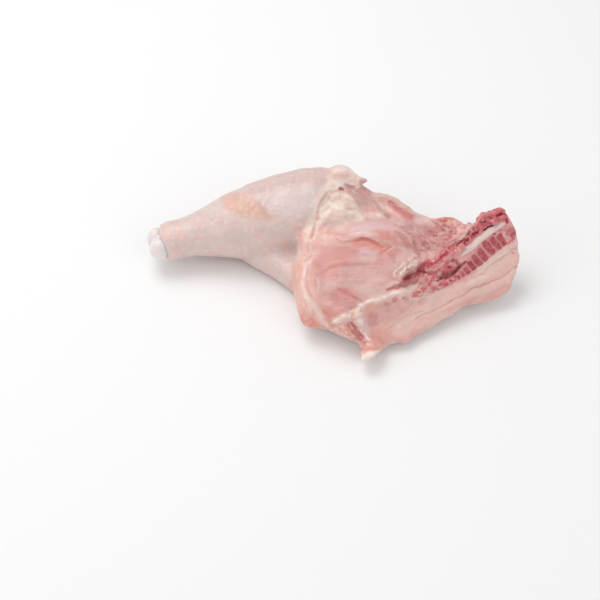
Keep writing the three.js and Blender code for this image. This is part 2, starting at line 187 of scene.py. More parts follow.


# Areas of the flesh, each with a tissue. Some are painted shade, painted shadow or painted light, as noted
AREAS = rows(
    Area,
    ("upper thigh muscle",
     ((335, 241), (350, 243), (372, 247), (390, 254), (396, 262), (370, 265), (338, 267), (312, 276),
      (309, 268), (318, 254)), 5, 0.6, "muscle", 0.8),
    ("flush of the upper thigh muscle",
     ((314, 264), (324, 254), (345, 248), (357, 256), (342, 264), (324, 272), (312, 278)),
     6, 0.4, "muscle_dark", 0.65),
    # Pink skin, with painted shadow where a neighbouring piece lay against the thigh
    ("pink skin with painted shadow beside the thigh",
     ((296, 227), (305, 226), (312, 236), (310, 254), (302, 257), (298, 244)), 3.5, 0, "peach_dark", 0.6),
    ("pale lower thigh muscle",
     ((322, 275), (338, 268), (370, 266), (394, 268), (392, 284), (370, 292), (345, 286), (326, 292),
      (319, 286)), 6, 0.3, "silver", 0.6),
    ("flush left of the seam",
     ((318, 266), (336, 262), (342, 268), (337, 279), (322, 282)), 4, 0, "muscle_dark", 0.85),
    ("lower thigh muscle",
     ((332, 294), (345, 290), (360, 299), (354, 308), (342, 317), (326, 312)), 5, 0.4, "muscle_dark", 0.8),
    ("pale membrane over the thigh",
     ((352, 223), (364, 219), (380, 219), (394, 222), (402, 232), (384, 230), (372, 230), (352, 235),
      (345, 231)), 4, 0.5, "lilac", 0.85),
    # A silvery membrane with a painted sheen on it
    ("silvery membrane with painted sheen",
     ((357, 252), (364, 248), (373, 247), (381, 251), (376, 262), (362, 263)), 3, 0.3, "lilac", 0.8),
    # Painted light, which lightens the shade on the slope above the fold
    ("light above the fold",
     ((353, 233), (360, 230), (370, 231), (378, 235), (368, 237), (360, 236)), 2.5, 0, "white_fat", 0.4),
    ("dusky hollow right of the fold",
     ((381, 234), (388, 232), (396, 238), (396, 246), (388, 247), (382, 241)), 3.5, -0.2, "meat_dark", 0.5),
    ("meat beside the ridge",
     ((400, 224), (420, 222), (446, 218), (462, 226), (452, 240), (438, 250), (420, 252), (402, 246),
      (396, 236)), 6, 0, "meat_dark", 0.9),
    ("pale meat before the pocket",
     ((398, 250), (418, 250), (424, 258), (412, 266), (396, 272), (386, 266)), 5, 0, "lilac", 0.55),
    ("flush right of the folds",
     ((380, 246), (390, 243), (400, 245), (403, 252), (394, 257), (384, 256)), 4, 0, "muscle_dark", 0.85),
    ("pale hump at the upper edge",
     ((416, 215), (426, 216), (431, 222), (424, 227), (415, 222)), 2.5, 0.7, "lilac", 0.95),
    ("red flesh at the ridge",
     ((432, 219), (446, 216), (456, 219), (466, 226), (456, 232), (440, 228)), 2.5, 0.6, "salmon", 0.6),
    ("flush below the flap",
     ((400, 228), (412, 226), (424, 236), (414, 246), (400, 244), (392, 236)), 5, 0, "meat_dark", 0.35),
    ("pale meat right of the fold",
     ((396, 230), (406, 232), (410, 242), (404, 248), (396, 244)), 3, 0, "muscle_pale", 0.5),
    ("pale meat below the flap",
     ((390, 214), (402, 217), (408, 225), (398, 226), (388, 220)), 3, 0, "lilac", 0.6),
    ("light meat under the hump",
     ((402, 222), (414, 223), (430, 222), (436, 228), (424, 234), (408, 232), (398, 228)),
     4, 1, "lilac", 0.55),
    ("knee fat",
     ((330, 196), (338, 192), (347, 192), (353, 197), (360, 206), (365, 214), (363, 220), (350, 222),
      (336, 221), (322, 224), (318, 216), (323, 205)), 3.5, 0.6, "knee_fat", 0.9),
    # Painted light on the fat's lower side, which turns away from the light
    ("painted light on the lower part of the fat",
     ((326, 214), (331, 206), (343, 204), (347, 212), (344, 220), (330, 220), (320, 222)),
     3, 0.5, "white_fat", 0.85),
    # Painted light on the slope below the fat, where it lies in shade
    ("painted light on the slope below the fat",
     ((326, 220), (345, 219), (350, 225), (341, 231), (327, 229)), 4, 0.9, "white_fat", 0.5),
    ("grey patch in the fat",
     ((321, 205), (328, 201), (331, 207), (325, 211), (320, 211)), 2.5, -0.6, "skin", 0.95),
    ("pink spot in the fat",
     ((322, 223), (329, 220), (336, 223), (335, 229), (328, 231), (322, 228)), 2.2, 0, "lilac", 0.5),
    ("lower end of the knee fat",
     ((318, 228), (334, 231), (338, 237), (326, 243), (311, 243)), 4, 0.6, "rim", 0.7),
    ("grey film over the knee",
     ((346, 187), (352, 188), (359, 188), (363, 185), (370, 191), (376, 194), (374, 203), (368, 208),
      (360, 206), (353, 198)), 2.5, -0.4, "film", 0.95),
    ("flush of the film",
     ((361, 186), (366, 188), (372, 193), (368, 198), (360, 194)), 3, 0, "muscle_dark", 0.5),
    ("fat under the film",
     ((365, 213), (374, 212), (384, 214), (386, 218), (374, 219), (366, 218)), 2, 0.5, "cream", 0.6),
    # The knee roll, painted lighter as painted light where its front turns from the light
    ("knee roll",
     ((328, 181), (333, 169), (344, 165), (358, 173), (360, 184), (357, 188), (345, 184), (338, 188),
      (328, 192), (324, 191)), 3, 0, "roll", 0.9),
    ("pink top of the knee roll",
     ((329, 171), (334, 169), (342, 166), (350, 170), (356, 176), (346, 176), (336, 175), (329, 178)),
     3, 0, "rim", 0.45),
    # Painted shade on the skin before the knee roll
    ("shaded skin before the knee roll",
     ((314, 169), (326, 166), (331, 168), (327, 180), (320, 186), (314, 182)), 3.5, 0, "film", 0.4),
    ("recess at the tail",
     ((365, 308), (378, 304), (400, 301), (424, 297), (426, 302), (398, 315), (382, 325), (372, 328),
      (366, 320)), 3.5, -1, "muscle", 0.75),
    ("tendon's patch",
     ((334, 321), (341, 317), (349, 313), (356, 309), (361, 304), (368, 301), (371, 303), (366, 307),
      (363, 312), (365, 318), (364, 324), (359, 325), (354, 322), (349, 320.5), (343, 322.5),
      (336, 323.5)), 1.5, 0.5, "tendon", 0.85),
    ("sheet below the tendon",
     ((363, 314), (367, 318), (371, 330), (372, 340), (368, 341), (363, 333), (358, 326), (358, 320)),
     2, 0.3, "lilac", 0.75),
    ("corner of the recess",
     ((366, 315), (372, 311), (379, 314), (376, 325), (370, 326)), 3, -0.5, "muscle_dark", 0.7),
    ("pink wall beside the tendon",
     ((364, 306), (378, 303), (380, 308), (372, 312), (366, 318), (362, 314)), 2.5, 0.2, "peach", 0.5),
    ("tissue at the pocket's foot",
     ((388, 294.5), (399, 292.5), (414, 287.5), (424, 281), (428, 284), (414, 293), (398, 296), (388, 296.5)),
     2.2, 0.2, "band", 0.7),
    ("kidney pocket",
     ((397.5, 287), (400, 281.5), (404.5, 277), (410, 273), (416, 271), (422, 272), (423.5, 276), (418, 283),
      (408, 289)), 1.8, -0.3, "pocket", 0.95),
    ("peach skin at the tail",
     ((371, 331), (380, 328), (392, 330), (396, 338), (384, 347), (372, 349), (367, 342)),
     3, 0.3, "peach_dark", 0.6),
    # Painted shade on the rounded skin on the right, which turns from the light
    ("shaded skin on the right",
     ((462, 299), (480, 294), (499, 286), (510, 279), (512, 290), (498, 301), (480, 306), (462, 312)),
     4, 0, "muscle_dark", 0.6),
    ("pale skin under the bone end",
     ((402, 301), (420, 300), (424, 307), (408, 312), (398, 308)), 3, 0, "band", 0.6),
    ("shaded skin at the bottom",
     ((394, 338), (408, 333), (424, 324), (428, 330), (414, 341), (398, 346)), 3, 0, "muscle_dark", 0.35),
    ("salmon skin under the rim",
     ((298, 306), (308, 309), (318, 320), (327, 331), (312, 336), (297, 324)), 4, 0, "salmon_skin", 0.95),
    ("peach skin outside the rim",
     ((293, 268), (299, 262), (301, 280), (301, 296), (308, 310), (298, 318), (288, 296)),
     4, 0, "peach", 0.95),
    ("fold of fat in the drumstick's skin",
     ((221, 195), (236, 191), (252, 197), (263, 206), (270, 218), (256, 219), (238, 215), (225, 209)),
     4, 0.3, "orange", 0.75),
    ("pale skin of the drumstick",
     ((266, 200), (286, 190), (312, 184), (318, 196), (310, 212), (290, 216), (274, 212)),
     8, 0, "pearl", 0.7),
    # Painted shade along the top of the drumstick, where its skin turns from the light
    ("shaded skin at the drumstick's top",
     ((246, 188), (276, 177), (312, 170), (312, 180), (280, 190), (252, 197)), 6, 0, "film", 0.3),
    ("muscle below the tendon",
     ((347, 322), (354, 320), (359, 326), (366, 338), (359, 336), (350, 330)), 2, -0.4, "muscle_dark", 0.65),
    # Painted shadow where a neighbouring piece lay against the muscle at the tail
    ("painted shadow on the muscle at the tail",
     ((349, 330), (358, 333), (366, 342), (366, 351), (358, 350), (350, 338)), 2, -0.3, "meat_dark", 0.9),
    # Painted shadow over the tail curl, where a neighbouring piece lay against it
    ("painted shadow over the curl",
     ((359, 343), (372, 343), (374, 350), (364, 352)), 2, 0, "peach_dark", 0.5),
    ("ragged skin below the muscle",
     ((328, 322), (342, 325), (350, 332), (360, 341), (366, 350), (354, 344), (342, 334), (330, 328)),
     2, 0.4, "peach", 0.8),
)

# Strokes on the flesh. One without a tissue is relief alone.
FOLDS = rows(
    Stroke,
    ("lit edge of the drumstick's skin",
     ((330, 186), (324, 193), (319, 201), (316, 210), (313, 219), (310, 229), (307, 238)),
     2.4, 0.8, "fat", 0.6),
    ("crease beside the skin's edge",
     ((328, 192, 0.6), (323, 199), (319.5, 204.5), (318, 212, 0.6)), 0.8, -0.55, "film", 0.45),
    ("lower crease beside the skin's edge",
     ((318, 212, 0.7), (317, 222), (315.3, 227), (312, 238, 0.6)), 0.8, -0.6, "salmon", 0.4),
    ("flush on the skin's edge", ((315, 227, 0.6), (312, 236)), 1.1, 0, "salmon", 0.5),
    ("gap under the knee roll",
     ((345, 184.6, 0.6), (351, 186.8), (356.5, 186.8), (360, 185, 0.6)), 0.7, -1, "grey_red", 0.4),
    ("hollow under the knee roll", ((340.5, 188.3, 0.7), (342.7, 189.4, 0.7)), 1, -1.4, "pocket", 0.8),
    ("nub of the knee", ((361, 180.5), (363, 180.5), (366.5, 181.5)), 1.3, 0, "film", 0.85),
    ("shade along the top of the drumstick",
     ((226, 192, 0.7), (246, 184), (274, 175), (302, 168), (322, 167, 0.6)), 1.8, 0, "film", 0.5),
    # Painted light on the end of the knee roll
    ("bright end of the knee roll", ((350, 180, 0.8), (355, 183), (357, 185, 0.8)), 1.8, 0, "roll", 0.9),
    ("yellow fat lobe", ((349, 214, 0.8), (356, 213.5), (362, 217, 0.8)), 2.3, 0.4, "yellow_fat", 0.6),
    ("upper fat lobe", ((330, 203, 0.8), (334, 197), (342, 195, 0.9)), 2.6, 0.3, "white_fat", 0.6),
    ("left fat lobe", ((327, 215, 0.8), (323, 218.5), (320, 223, 0.7)), 2.6, 0.6, "white_fat", 0.7),
    ("crease between the lobes",
     ((346, 209.3, 0.6), (351, 209.3), (357, 208.5, 0.5)), 1, -0.4, "film", 0.55),
    ("second crease between the lobes",
     ((333, 203, 0.4), (334, 210), (330, 217, 0.5)), 1.3, -0.3, "rim", 0.15),
    ("line down the knee", ((317, 222, 0.6), (316, 230), (314, 239, 0.6)), 1, 0.5, "cream", 0.6),
    ("second line down the knee", ((325, 231, 0.6), (325, 238)), 1.4, 0.2, "cream", 0.25),
    ("dark streak in the film",
     ((375, 201, 0.4), (379, 207, 0.7), (384, 211.5), (389, 216.5, 0.8)), 1.8, -0.4, "smoke", 0.65),
    ("pale streak in the film",
     ((380, 203, 0.6), (388, 209), (396, 216), (402, 221, 0.6)), 2, 0.4, "ligament", 0.75),
    ("line in the film", ((356, 196, 0.6), (366, 198), (373, 202, 0.6)), 0.9, 0.3, "muscle_dark", 0.4),
    ("pale rim of the flap",
     ((374, 194.5, 0.7), (386, 196), (397, 201), (408, 209), (416, 216, 0.7)), 1.9, 0.4, "flap", 0.95),
    ("red strip of muscle",
     ((389, 202.5, 0.4), (396, 207), (404, 212.5, 1.1), (411, 217, 0.9)), 2, -0.5, "red", 0.65),
    ("dark edge of the red strip",
     ((389, 202, 0.5), (396, 205.5), (403, 210, 0.5)), 0.6, -0.4, "grey_red", 0.6),
    ("white edge of the fold",
     ((336, 237, 0.7), (344, 240), (353, 238.7), (360, 236.3, 0.8), (369, 237.3, 0.7), (378, 241.5, 0.5)),
     0.9, 0.5, "band", 0.7),
    ("bright edge of the fold",
     ((338, 238.5, 0.5), (344, 240.4), (351, 239.2, 0.5)), 0.7, 0.1, "tendon", 0.6),
    ("crease under the fold",
     ((355, 240.5, 0.4), (362, 239), (370, 240.3), (377, 244), (383, 248, 0.5)), 0.9, -1.1, "salmon", 0.85),
    ("light under the fold",
     ((355, 243.5, 0.6), (366, 243), (376, 247), (382, 251, 0.5)), 2.5, -0.2, "salmon", 0.6),
    ("second fold",
     ((374, 231.5, 0.4), (381, 232.5, 0.9), (388, 235.5), (394, 242, 0.5)), 2.3, -0.3, "salmon", 0.4),
    ("edge of the second fold", ((384, 241, 0.5), (391, 243), (396, 248, 0.5)), 1.5, 0.4, "lilac", 0.4),
    ("crease of the third fold",
     ((379, 255, 0.4), (385, 251.5), (393, 246, 0.4)), 0.9, -0.7, "salmon", 0.6),
    ("line between the thigh muscles",
     ((317, 276, 0.5), (325, 272), (334, 268), (342, 266), (356, 264.5), (370, 264.5), (384, 265, 0.4)),
     1, -0.7, "muscle_dark", 0.5),
    ("second line between the muscles",
     ((362, 268, 0.5), (376, 269), (390, 270, 0.5)), 0.8, -0.3, "muscle_dark", 0.25),
    ("flush in the upper muscle", ((334, 263, 0.7), (340, 262), (347, 262, 0.6)), 1.8, 0, "salmon", 0.35),
    ("red fold",
     ((340, 289.5, 0.8), (345, 293), (352, 296.5, 0.8), (361, 301, 0.5)), 1.2, -0.9, "red", 0.35),
    ("flush above the red fold", ((339, 288, 0.7), (345, 290.5, 0.8)), 2.6, 0, "red", 0.3),
    ("red corner by the tendon",
     ((323, 311, 0.6), (329, 315), (337, 317, 0.7)), 1.7, -0.6, "salmon", 0.7),
    ("small tendon on the left",
     ((317, 279, 0.6), (319, 286), (317.5, 294, 0.5)), 0.9, 0.4, "tendon", 0.45),
    ("skin inside the rim", ((312, 272), (309, 284), (313, 298)), 3, 0.2, "rim", 0.6),
    ("halo of the rim",
     ((318, 251, 0.7), (311, 257), (306, 264), (303, 273), (302, 285), (304, 296), (310, 305), (318, 314),
      (326, 325, 0.6)), 3, 0.7, "tendon", 0.15),
    ("white rim",
     ((313, 256, 0.5), (307, 265, 0.7), (303.5, 275, 0.7), (302.5, 287, 0.7), (305.5, 296), (311, 303, 1.1),
      (317, 309, 1.3), (321, 317, 1.1), (327, 326, 0.6)), 1.6, 0.3, "tendon", 0.65),
    ("crease of the rim's lower end",
     ((325, 318, 0.5), (332, 325), (340, 328, 0.5)), 0.8, -0.6, "peach_dark", 0.5),
    ("groove inside the rim",
     ((321, 257), (313, 266), (309, 276), (309, 288), (315, 300), (322, 308)), 1.4, -0.5, None, 0),
    ("nick in the rim",
     ((306, 260.5, 0.6), (309, 258.5), (312.5, 256.5, 0.6)), 0.8, -1, "peach_dark", 0.9),
    ("tendon, right branch",
     ((359, 309), (362, 304.5), (368, 301.5, 0.9), (378, 299, 1.1), (388, 296, 0.9), (400, 291.5, 0.8)),
     1.15, 0.6, "white_fat", 0.8),
    ("tendon, junction",
     ((361, 306, 0.7), (358, 312), (358, 317, 1.1), (361, 323, 0.8)), 2.4, 0.6, "tendon", 0.8),
    ("tendon, left branch",
     ((357, 311), (350, 314.5, 1.1), (342, 318), (334, 321.5, 0.6)), 1.7, 0.6, "tendon", 0.75),
    ("fringe of the tendon", ((350, 316, 0.8), (347, 321), (342, 325, 0.4)), 0.9, 0.3, "tendon", 0.6),
    ("second fringe of the tendon",
     ((356, 318, 0.8), (353, 323), (352, 328, 0.4)), 0.9, 0.3, "tendon", 0.6),
    ("third fringe of the tendon",
     ((343, 316, 0.8), (338, 316), (333, 318.5, 0.4)), 0.8, 0.3, "tendon", 0.5),
    ("pit in the tendon", ((361, 311, 0.7), (363, 309)), 0.9, -0.6, "peach_dark", 0.5),
    ("second pit in the tendon", ((352, 318, 0.7), (355, 320)), 0.8, -0.6, "peach_dark", 0.5),
    ("tendon, frayed end",
     ((347, 317, 0.8), (340, 321, 0.7), (332, 322.5, 0.5)), 1.2, 0.3, "tendon", 0.6),
    ("tendon, lower branch", ((360, 316, 0.8), (361, 323), (364, 329, 0.6)), 1.2, 0.2, "tendon", 0.5),
    ("thin edge of the lower branch",
     ((355.5, 324, 0.6), (361, 331), (369, 340, 0.6)), 0.7, 0.3, "white_fat", 0.75),
    ("first line below the tendon",
     ((346, 323, 0.6), (351, 330), (358, 337, 0.5)), 0.8, -0.5, "peach_dark", 0.5),
    ("second line below the tendon",
     ((352, 323, 0.7), (357, 330), (363, 338, 0.6)), 1.1, -0.8, "red", 0.7),
    ("tendon beside the bone",
     ((378, 299.5, 0.5), (391, 295.5), (402, 291), (410, 288), (418, 284.5, 0.6)), 1.4, 0.4, "tendon", 0.45),
    ("blood in the pocket",
     ((405.5, 279.3, 0.6), (409.5, 278), (414, 276.5, 0.6)), 2.1, -0.3, "blood", 0.95),
    ("shade of the pocket",
     ((412, 279, 0.7), (416, 275.5), (419, 272.5, 0.7)), 1.9, -0.3, "grey_red", 0.75),
    ("flush before the pocket",
     ((383, 284, 0.6), (388, 280), (392, 275, 0.6)), 2.2, 0, "peach_dark", 0.4),
    ("pale meat above the pocket",
     ((406, 268, 0.6), (411, 265.5), (415, 262, 0.6)), 2.2, 0, "white_fat", 0.6),
    ("swell above the pocket", ((399.5, 276.5, 0.8), (404, 272.5), (408, 269.5, 0.7)), 2.3, 1.2, None, 0),
    ("light above the pocket",
     ((401.5, 275, 0.6), (405, 271.5), (410, 268.5), (415, 266), (417, 262, 0.7)), 1.9, 0.2, "cream", 0.65),
    ("lip of the pocket",
     ((387, 289.5, 0.5), (393, 287.5), (399, 285.5), (405, 286, 0.6)), 0.9, 0.3, "pocket", 0.7),
    ("blood line at the pocket",
     ((386.5, 290, 0.6), (392, 289.3), (399, 287.8, 0.7)), 0.9, -0.2, "red", 0.85),
    ("torn membrane over the pocket",
     ((395, 277.5, 0.6), (394.5, 273), (398, 269.5, 0.7), (402, 266.5), (403.5, 263, 0.7)),
     0.7, 0.4, "shred", 0.8),
    ("second torn membrane",
     ((400, 273, 0.5), (404, 270), (409, 267.5, 0.8), (413, 265, 0.4)), 0.8, 0.3, "shred", 0.6),
    ("third torn membrane",
     ((408, 262, 0.5), (412, 258.5, 0.8), (417, 256, 0.5)), 1.1, 0.3, "shred", 0.4),
    ("first web by the ridge", ((399, 246, 0.5), (405, 251), (414, 257, 0.6)), 1, 0.3, "lilac", 0.6),
    ("second web by the ridge", ((410, 243, 0.5), (420, 248), (430, 252, 0.5)), 1, 0.3, "lilac", 0.5),
    ("third web by the ridge", ((404, 232, 0.5), (410, 238), (413, 246, 0.5)), 1.2, 0.2, "lilac", 0.45),
    ("upright line by the ridge", ((428, 240, 0.6), (432, 246), (433, 253, 0.6)), 0.8, 0.3, "lilac", 0.6),
    ("pale streak below the hump",
     ((409, 223, 0.6), (414, 226), (416, 232, 0.6)), 1.2, 0.3, "lilac", 0.6),
    ("pale flesh in the notch",
     ((427, 220.5, 0.7), (433, 223.5), (440, 228, 0.6)), 2.1, 1, "ligament", 0.8),
    ("fat bits behind the ridge",
     ((454, 224, 0.7), (460, 229), (467, 231.5, 0.8)), 2, 0.6, "ligament", 0.95),
    ("dark lines behind the ridge",
     ((438, 225.5, 0.6), (443, 230), (452, 234, 0.6)), 0.9, -0.5, "smoke", 0.8),
    ("second dark line behind the ridge",
     ((446, 228, 0.5), (450, 231), (456, 233, 0.5)), 0.6, -0.4, "grey_red", 0.6),
    ("crease in the drumstick's skin",
     ((250, 197, 0.5), (258, 204), (264, 211), (271, 217, 0.5)), 1, -0.5, "skin_edge", 0.35),
    ("white tail curl",
     ((377, 352, 0.5), (371, 354.5, 0.9), (366.5, 357), (360.5, 360.5, 0.7)), 2.6, 0.3, "white_fat", 0.72),
    ("groove over the tail curl",
     ((378, 349, 0.6), (371, 349.5), (364, 352.5, 0.7)), 0.7, -0.8, "peach_dark", 0.6),
    ("flush above the tail curl", ((366, 345, 0.7), (368, 349)), 1.2, -0.2, "salmon", 0.5),
)

# Strokes on the sawn face, below the bone
FACE_LINES = rows(
    Stroke,
    ("white strip under the marrow",
     ((517, 247), (506, 250), (494, 259), (482, 268), (470, 276), (458, 282), (444, 289), (430, 296),
      (416, 301, 0.7)), 2.3, 0.3, "ligament", 0.85),
    ("flush under the marrow",
     ((474, 271, 0.7), (464, 277.5), (453, 282.5), (441, 288.5, 0.7)), 1.9, 0, "pink_bone", 0.85),
    ("pale edge of the strip",
     ((514, 251, 0.6), (506, 254), (497, 259), (486, 268), (476, 276, 0.6)), 0.8, 0.2, "tendon", 0.55),
    ("grey line in the strip",
     ((511, 252, 0.5), (503, 257), (495, 262), (484, 270, 0.5)), 0.7, -0.3, "smoke", 0.35),
    ("red line in the strip", ((485, 272.5, 0.5), (477, 276), (469, 280, 0.5)), 0.6, -0.3, "salmon", 0.4),
    ("red dot", ((513, 253), (514, 253.6)), 0.8, -0.2, "salmon", 0.8),
    ("first white bone end", ((404, 298, 0.7), (412, 299), (422, 297, 0.7)), 2.2, 0.1, "ligament", 0.7),
    ("first dot", ((393.5, 299.6, 0.8), (395.5, 300)), 1.1, -0.1, "red", 0.7),
    ("second dot", ((403, 298), (404.5, 298.2)), 0.7, -0.1, "grey_red", 0.8),
    ("third dot", ((386, 304, 0.8), (388, 304.6)), 1.2, 0, "red", 0.35),
    ("fold line",
     ((518, 265, 0.7), (512, 269), (507, 274, 0.8), (502, 277.5, 0.7), (491, 282, 0.6), (482, 285.5, 0.9),
      (473, 288, 0.6), (468, 292, 0.8), (460, 296.7, 0.6), (451, 301, 0.7), (442, 306.5, 0.5),
      (433, 311, 0.7), (424, 314, 0.5), (418, 318, 0.6), (412, 322, 0.4)),
     0.6, -0.55, "muscle_dark", 0.85),
    ("shade above the fold line",
     ((516, 263), (500, 276), (484, 283), (470, 288, 0.7), (452, 298, 0.5)), 1.4, 0, "peach", 0.15),
    ("light above the fold line",
     ((468, 283, 0.6), (478, 279.5), (488, 276, 0.6)), 2.2, 0, "tendon", 0.5),
    ("end of the fold line",
     ((424, 311, 0.5), (412, 315), (400, 321), (388, 329, 0.5)), 1, -0.5, "skin_edge", 0.55),
    ("swell above the fold line", ((512, 260), (497, 270), (478, 280), (460, 289)), 2.2, 0.6, None, 0),
    ("swell below the fold line",
     ((514, 273), (498, 287), (478, 294), (458, 303), (436, 313)), 2.6, 0.6, "band", 0.6),
    ("pale left end of the band", ((398, 323, 0.7), (412, 318), (428, 312, 0.8)), 3, 0, "tendon", 0.4),
    ("lower fold line",
     ((508, 284, 0.5), (496, 291), (480, 297, 0.6), (462, 303), (448, 310, 0.5)),
     0.9, -0.4, "skin_edge", 0.4),
    ("line along the muscle",
     ((378, 330, 0.5), (392, 322), (408, 314), (420, 307, 0.5)), 0.8, -0.3, "peach", 0.5),
    ("notch at the right edge",
     ((519, 247, 0.7), (515, 249), (511, 250, 0.5)), 0.9, -0.8, "skin_edge", 0.6),
)

# Clots and strands that cross from the flesh onto the bone, as strokes
CLOTS = rows(
    Stroke,
    ("clot over the pocket",
     ((418, 269.5, 0.8), (422, 266.5, 1.1), (427, 263.5, 0.9)), 2.1, 0.6, "blood", 0.8),
    ("dark heart of the clot",
     ((418.5, 270.5, 0.7), (422, 267.5), (425.5, 264, 0.7)), 1.5, -0.1, "dark", 0.7),
    ("bright clot", ((428, 266.5, 0.8), (432, 265.2), (436, 264, 0.7)), 1.5, 0.5, "bright_red", 0.95),
    ("lower end of the clot",
     ((416.5, 273.5, 0.7), (420.5, 272.5), (425, 271, 0.7)), 2.1, -0.2, "blood", 0.85),
    ("brown end of the clot", ((425.5, 261.8, 0.7), (429, 260.3, 0.6)), 0.9, 0.2, "grey_red", 0.6),
    ("dark line under the clot",
     ((420, 272, 0.5), (423.5, 271.6), (427, 272.5, 0.5)), 0.9, -0.2, "dark", 0.75),
    ("clot under the pale arc",
     ((427, 273.5, 0.8), (432, 273), (437, 271.5, 0.7)), 1.3, 0, "marrow", 0.7),
    ("red skin of the clot",
     ((430, 267.5, 0.7), (434, 266), (438, 264, 0.6)), 1.1, 0, "bright_red", 0.55),
    ("pale arc", ((425, 270.5, 0.6), (430, 269.3), (436, 270, 0.5)), 0.6, 0.3, "rim", 0.8),
    ("clot above the wedge", ((436, 262, 0.7), (439, 260), (442, 257.5, 0.7)), 1.3, 0.4, "blood", 0.85),
    ("second clot above the wedge", ((443, 256, 0.7), (446, 253, 0.8)), 1, 0.3, "marrow", 0.7),
    ("pale shred at the clot", ((443, 262.5, 0.6), (446, 261)), 1.1, 0.3, "ligament", 0.7),
    ("long dark clot", ((457, 245.5, 0.5), (460, 242.5), (464, 238.5, 0.6)), 0.9, -0.4, "dark", 0.6),
    ("pale shred at the dark clot", ((461, 237.5, 0.7), (464.5, 235.5, 0.7)), 1.3, 0.3, "ligament", 0.9),
    ("end of the dark clot", ((466, 236, 0.7), (469, 232.5, 0.6)), 0.9, -0.4, "dark", 0.4),
    ("small clot", ((440, 251.5), (441.5, 251)), 0.9, 0.2, "red", 0.6),
    ("second small clot", ((447, 239.5), (449, 238.5)), 0.9, 0.2, "red", 0.6),
    ("third small clot", ((407, 269.5), (408, 269)), 0.7, 0, "red", 0.7),
    ("pink strand over the wedge",
     ((463, 243, 0.6), (457, 249), (451, 255), (443, 261), (434, 267), (426, 270, 0.5)),
     1.1, 0.4, "pink_bone", 0.75),
    ("pale strand over the pocket",
     ((427, 274, 0.5), (422, 279), (417, 284, 0.6)), 1, 0.3, "pink_bone", 0.75),
)

# Where the outline is fitted to the photograph's
PULLS = rows(
    Pull,
    ("top of the drumstick, left", (238, 187), 14, 14, 0, 3),
    ("top of the drumstick, middle", (262, 180), 14, 14, 0, 3.2),
    ("top of the drumstick, right", (286, 173), 14, 14, 0, 2.4),
    ("drumstick beside the knee", (322, 168), 8, 10, 0, -2.6),
    ("knee roll", (349, 167), 9, 8, 0, -2.2),
    ("notch beside the knee", (372, 186), 8, 8, 0, 6.5),
    ("skin beside the nub", (366, 179), 5, 7, -5, 2),
    ("flap on the upper edge", (408, 208), 6, 7, 0, -2.6),
    ("flesh by the ridge", (440, 217), 11, 7, 0, 3.6),
    ("left start of the ridge", (474, 217), 5, 8, 0, 6),
    ("crest of the ridge", (489, 210), 9, 8, 0, 1.4),
    ("end of the ridge", (506, 212), 4, 5, 0, -2),
    ("right edge", (520, 261), 8, 8, 3, 0),
    ("lower right corner", (508, 291), 11, 11, 3, 3.4),
    ("lower edge, right", (468, 322), 14, 14, 0, -10.5),
    ("lower edge, far right", (484, 308), 8, 8, 0, -1.5),
    ("lower edge, middle", (443, 326), 11, 10, 0, -3.5),
    ("lower edge, left", (408, 340), 7, 8, 0, 4),
    ("lower edge by the tail", (390, 350), 7, 7, 0, -2.5),
    ("rear of the thigh", (305, 325), 12, 10, -2.5, 3.2),
    ("skin under the muscle", (326, 347), 11, 14, 0, -8),
    ("skin beside the tail", (348, 359), 11, 16, 0, -11),
    ("left side of the tail", (355, 352), 5, 7, 4.5, 0),
    ("right side of the tail", (377, 360), 6, 6, 0, -5),
)

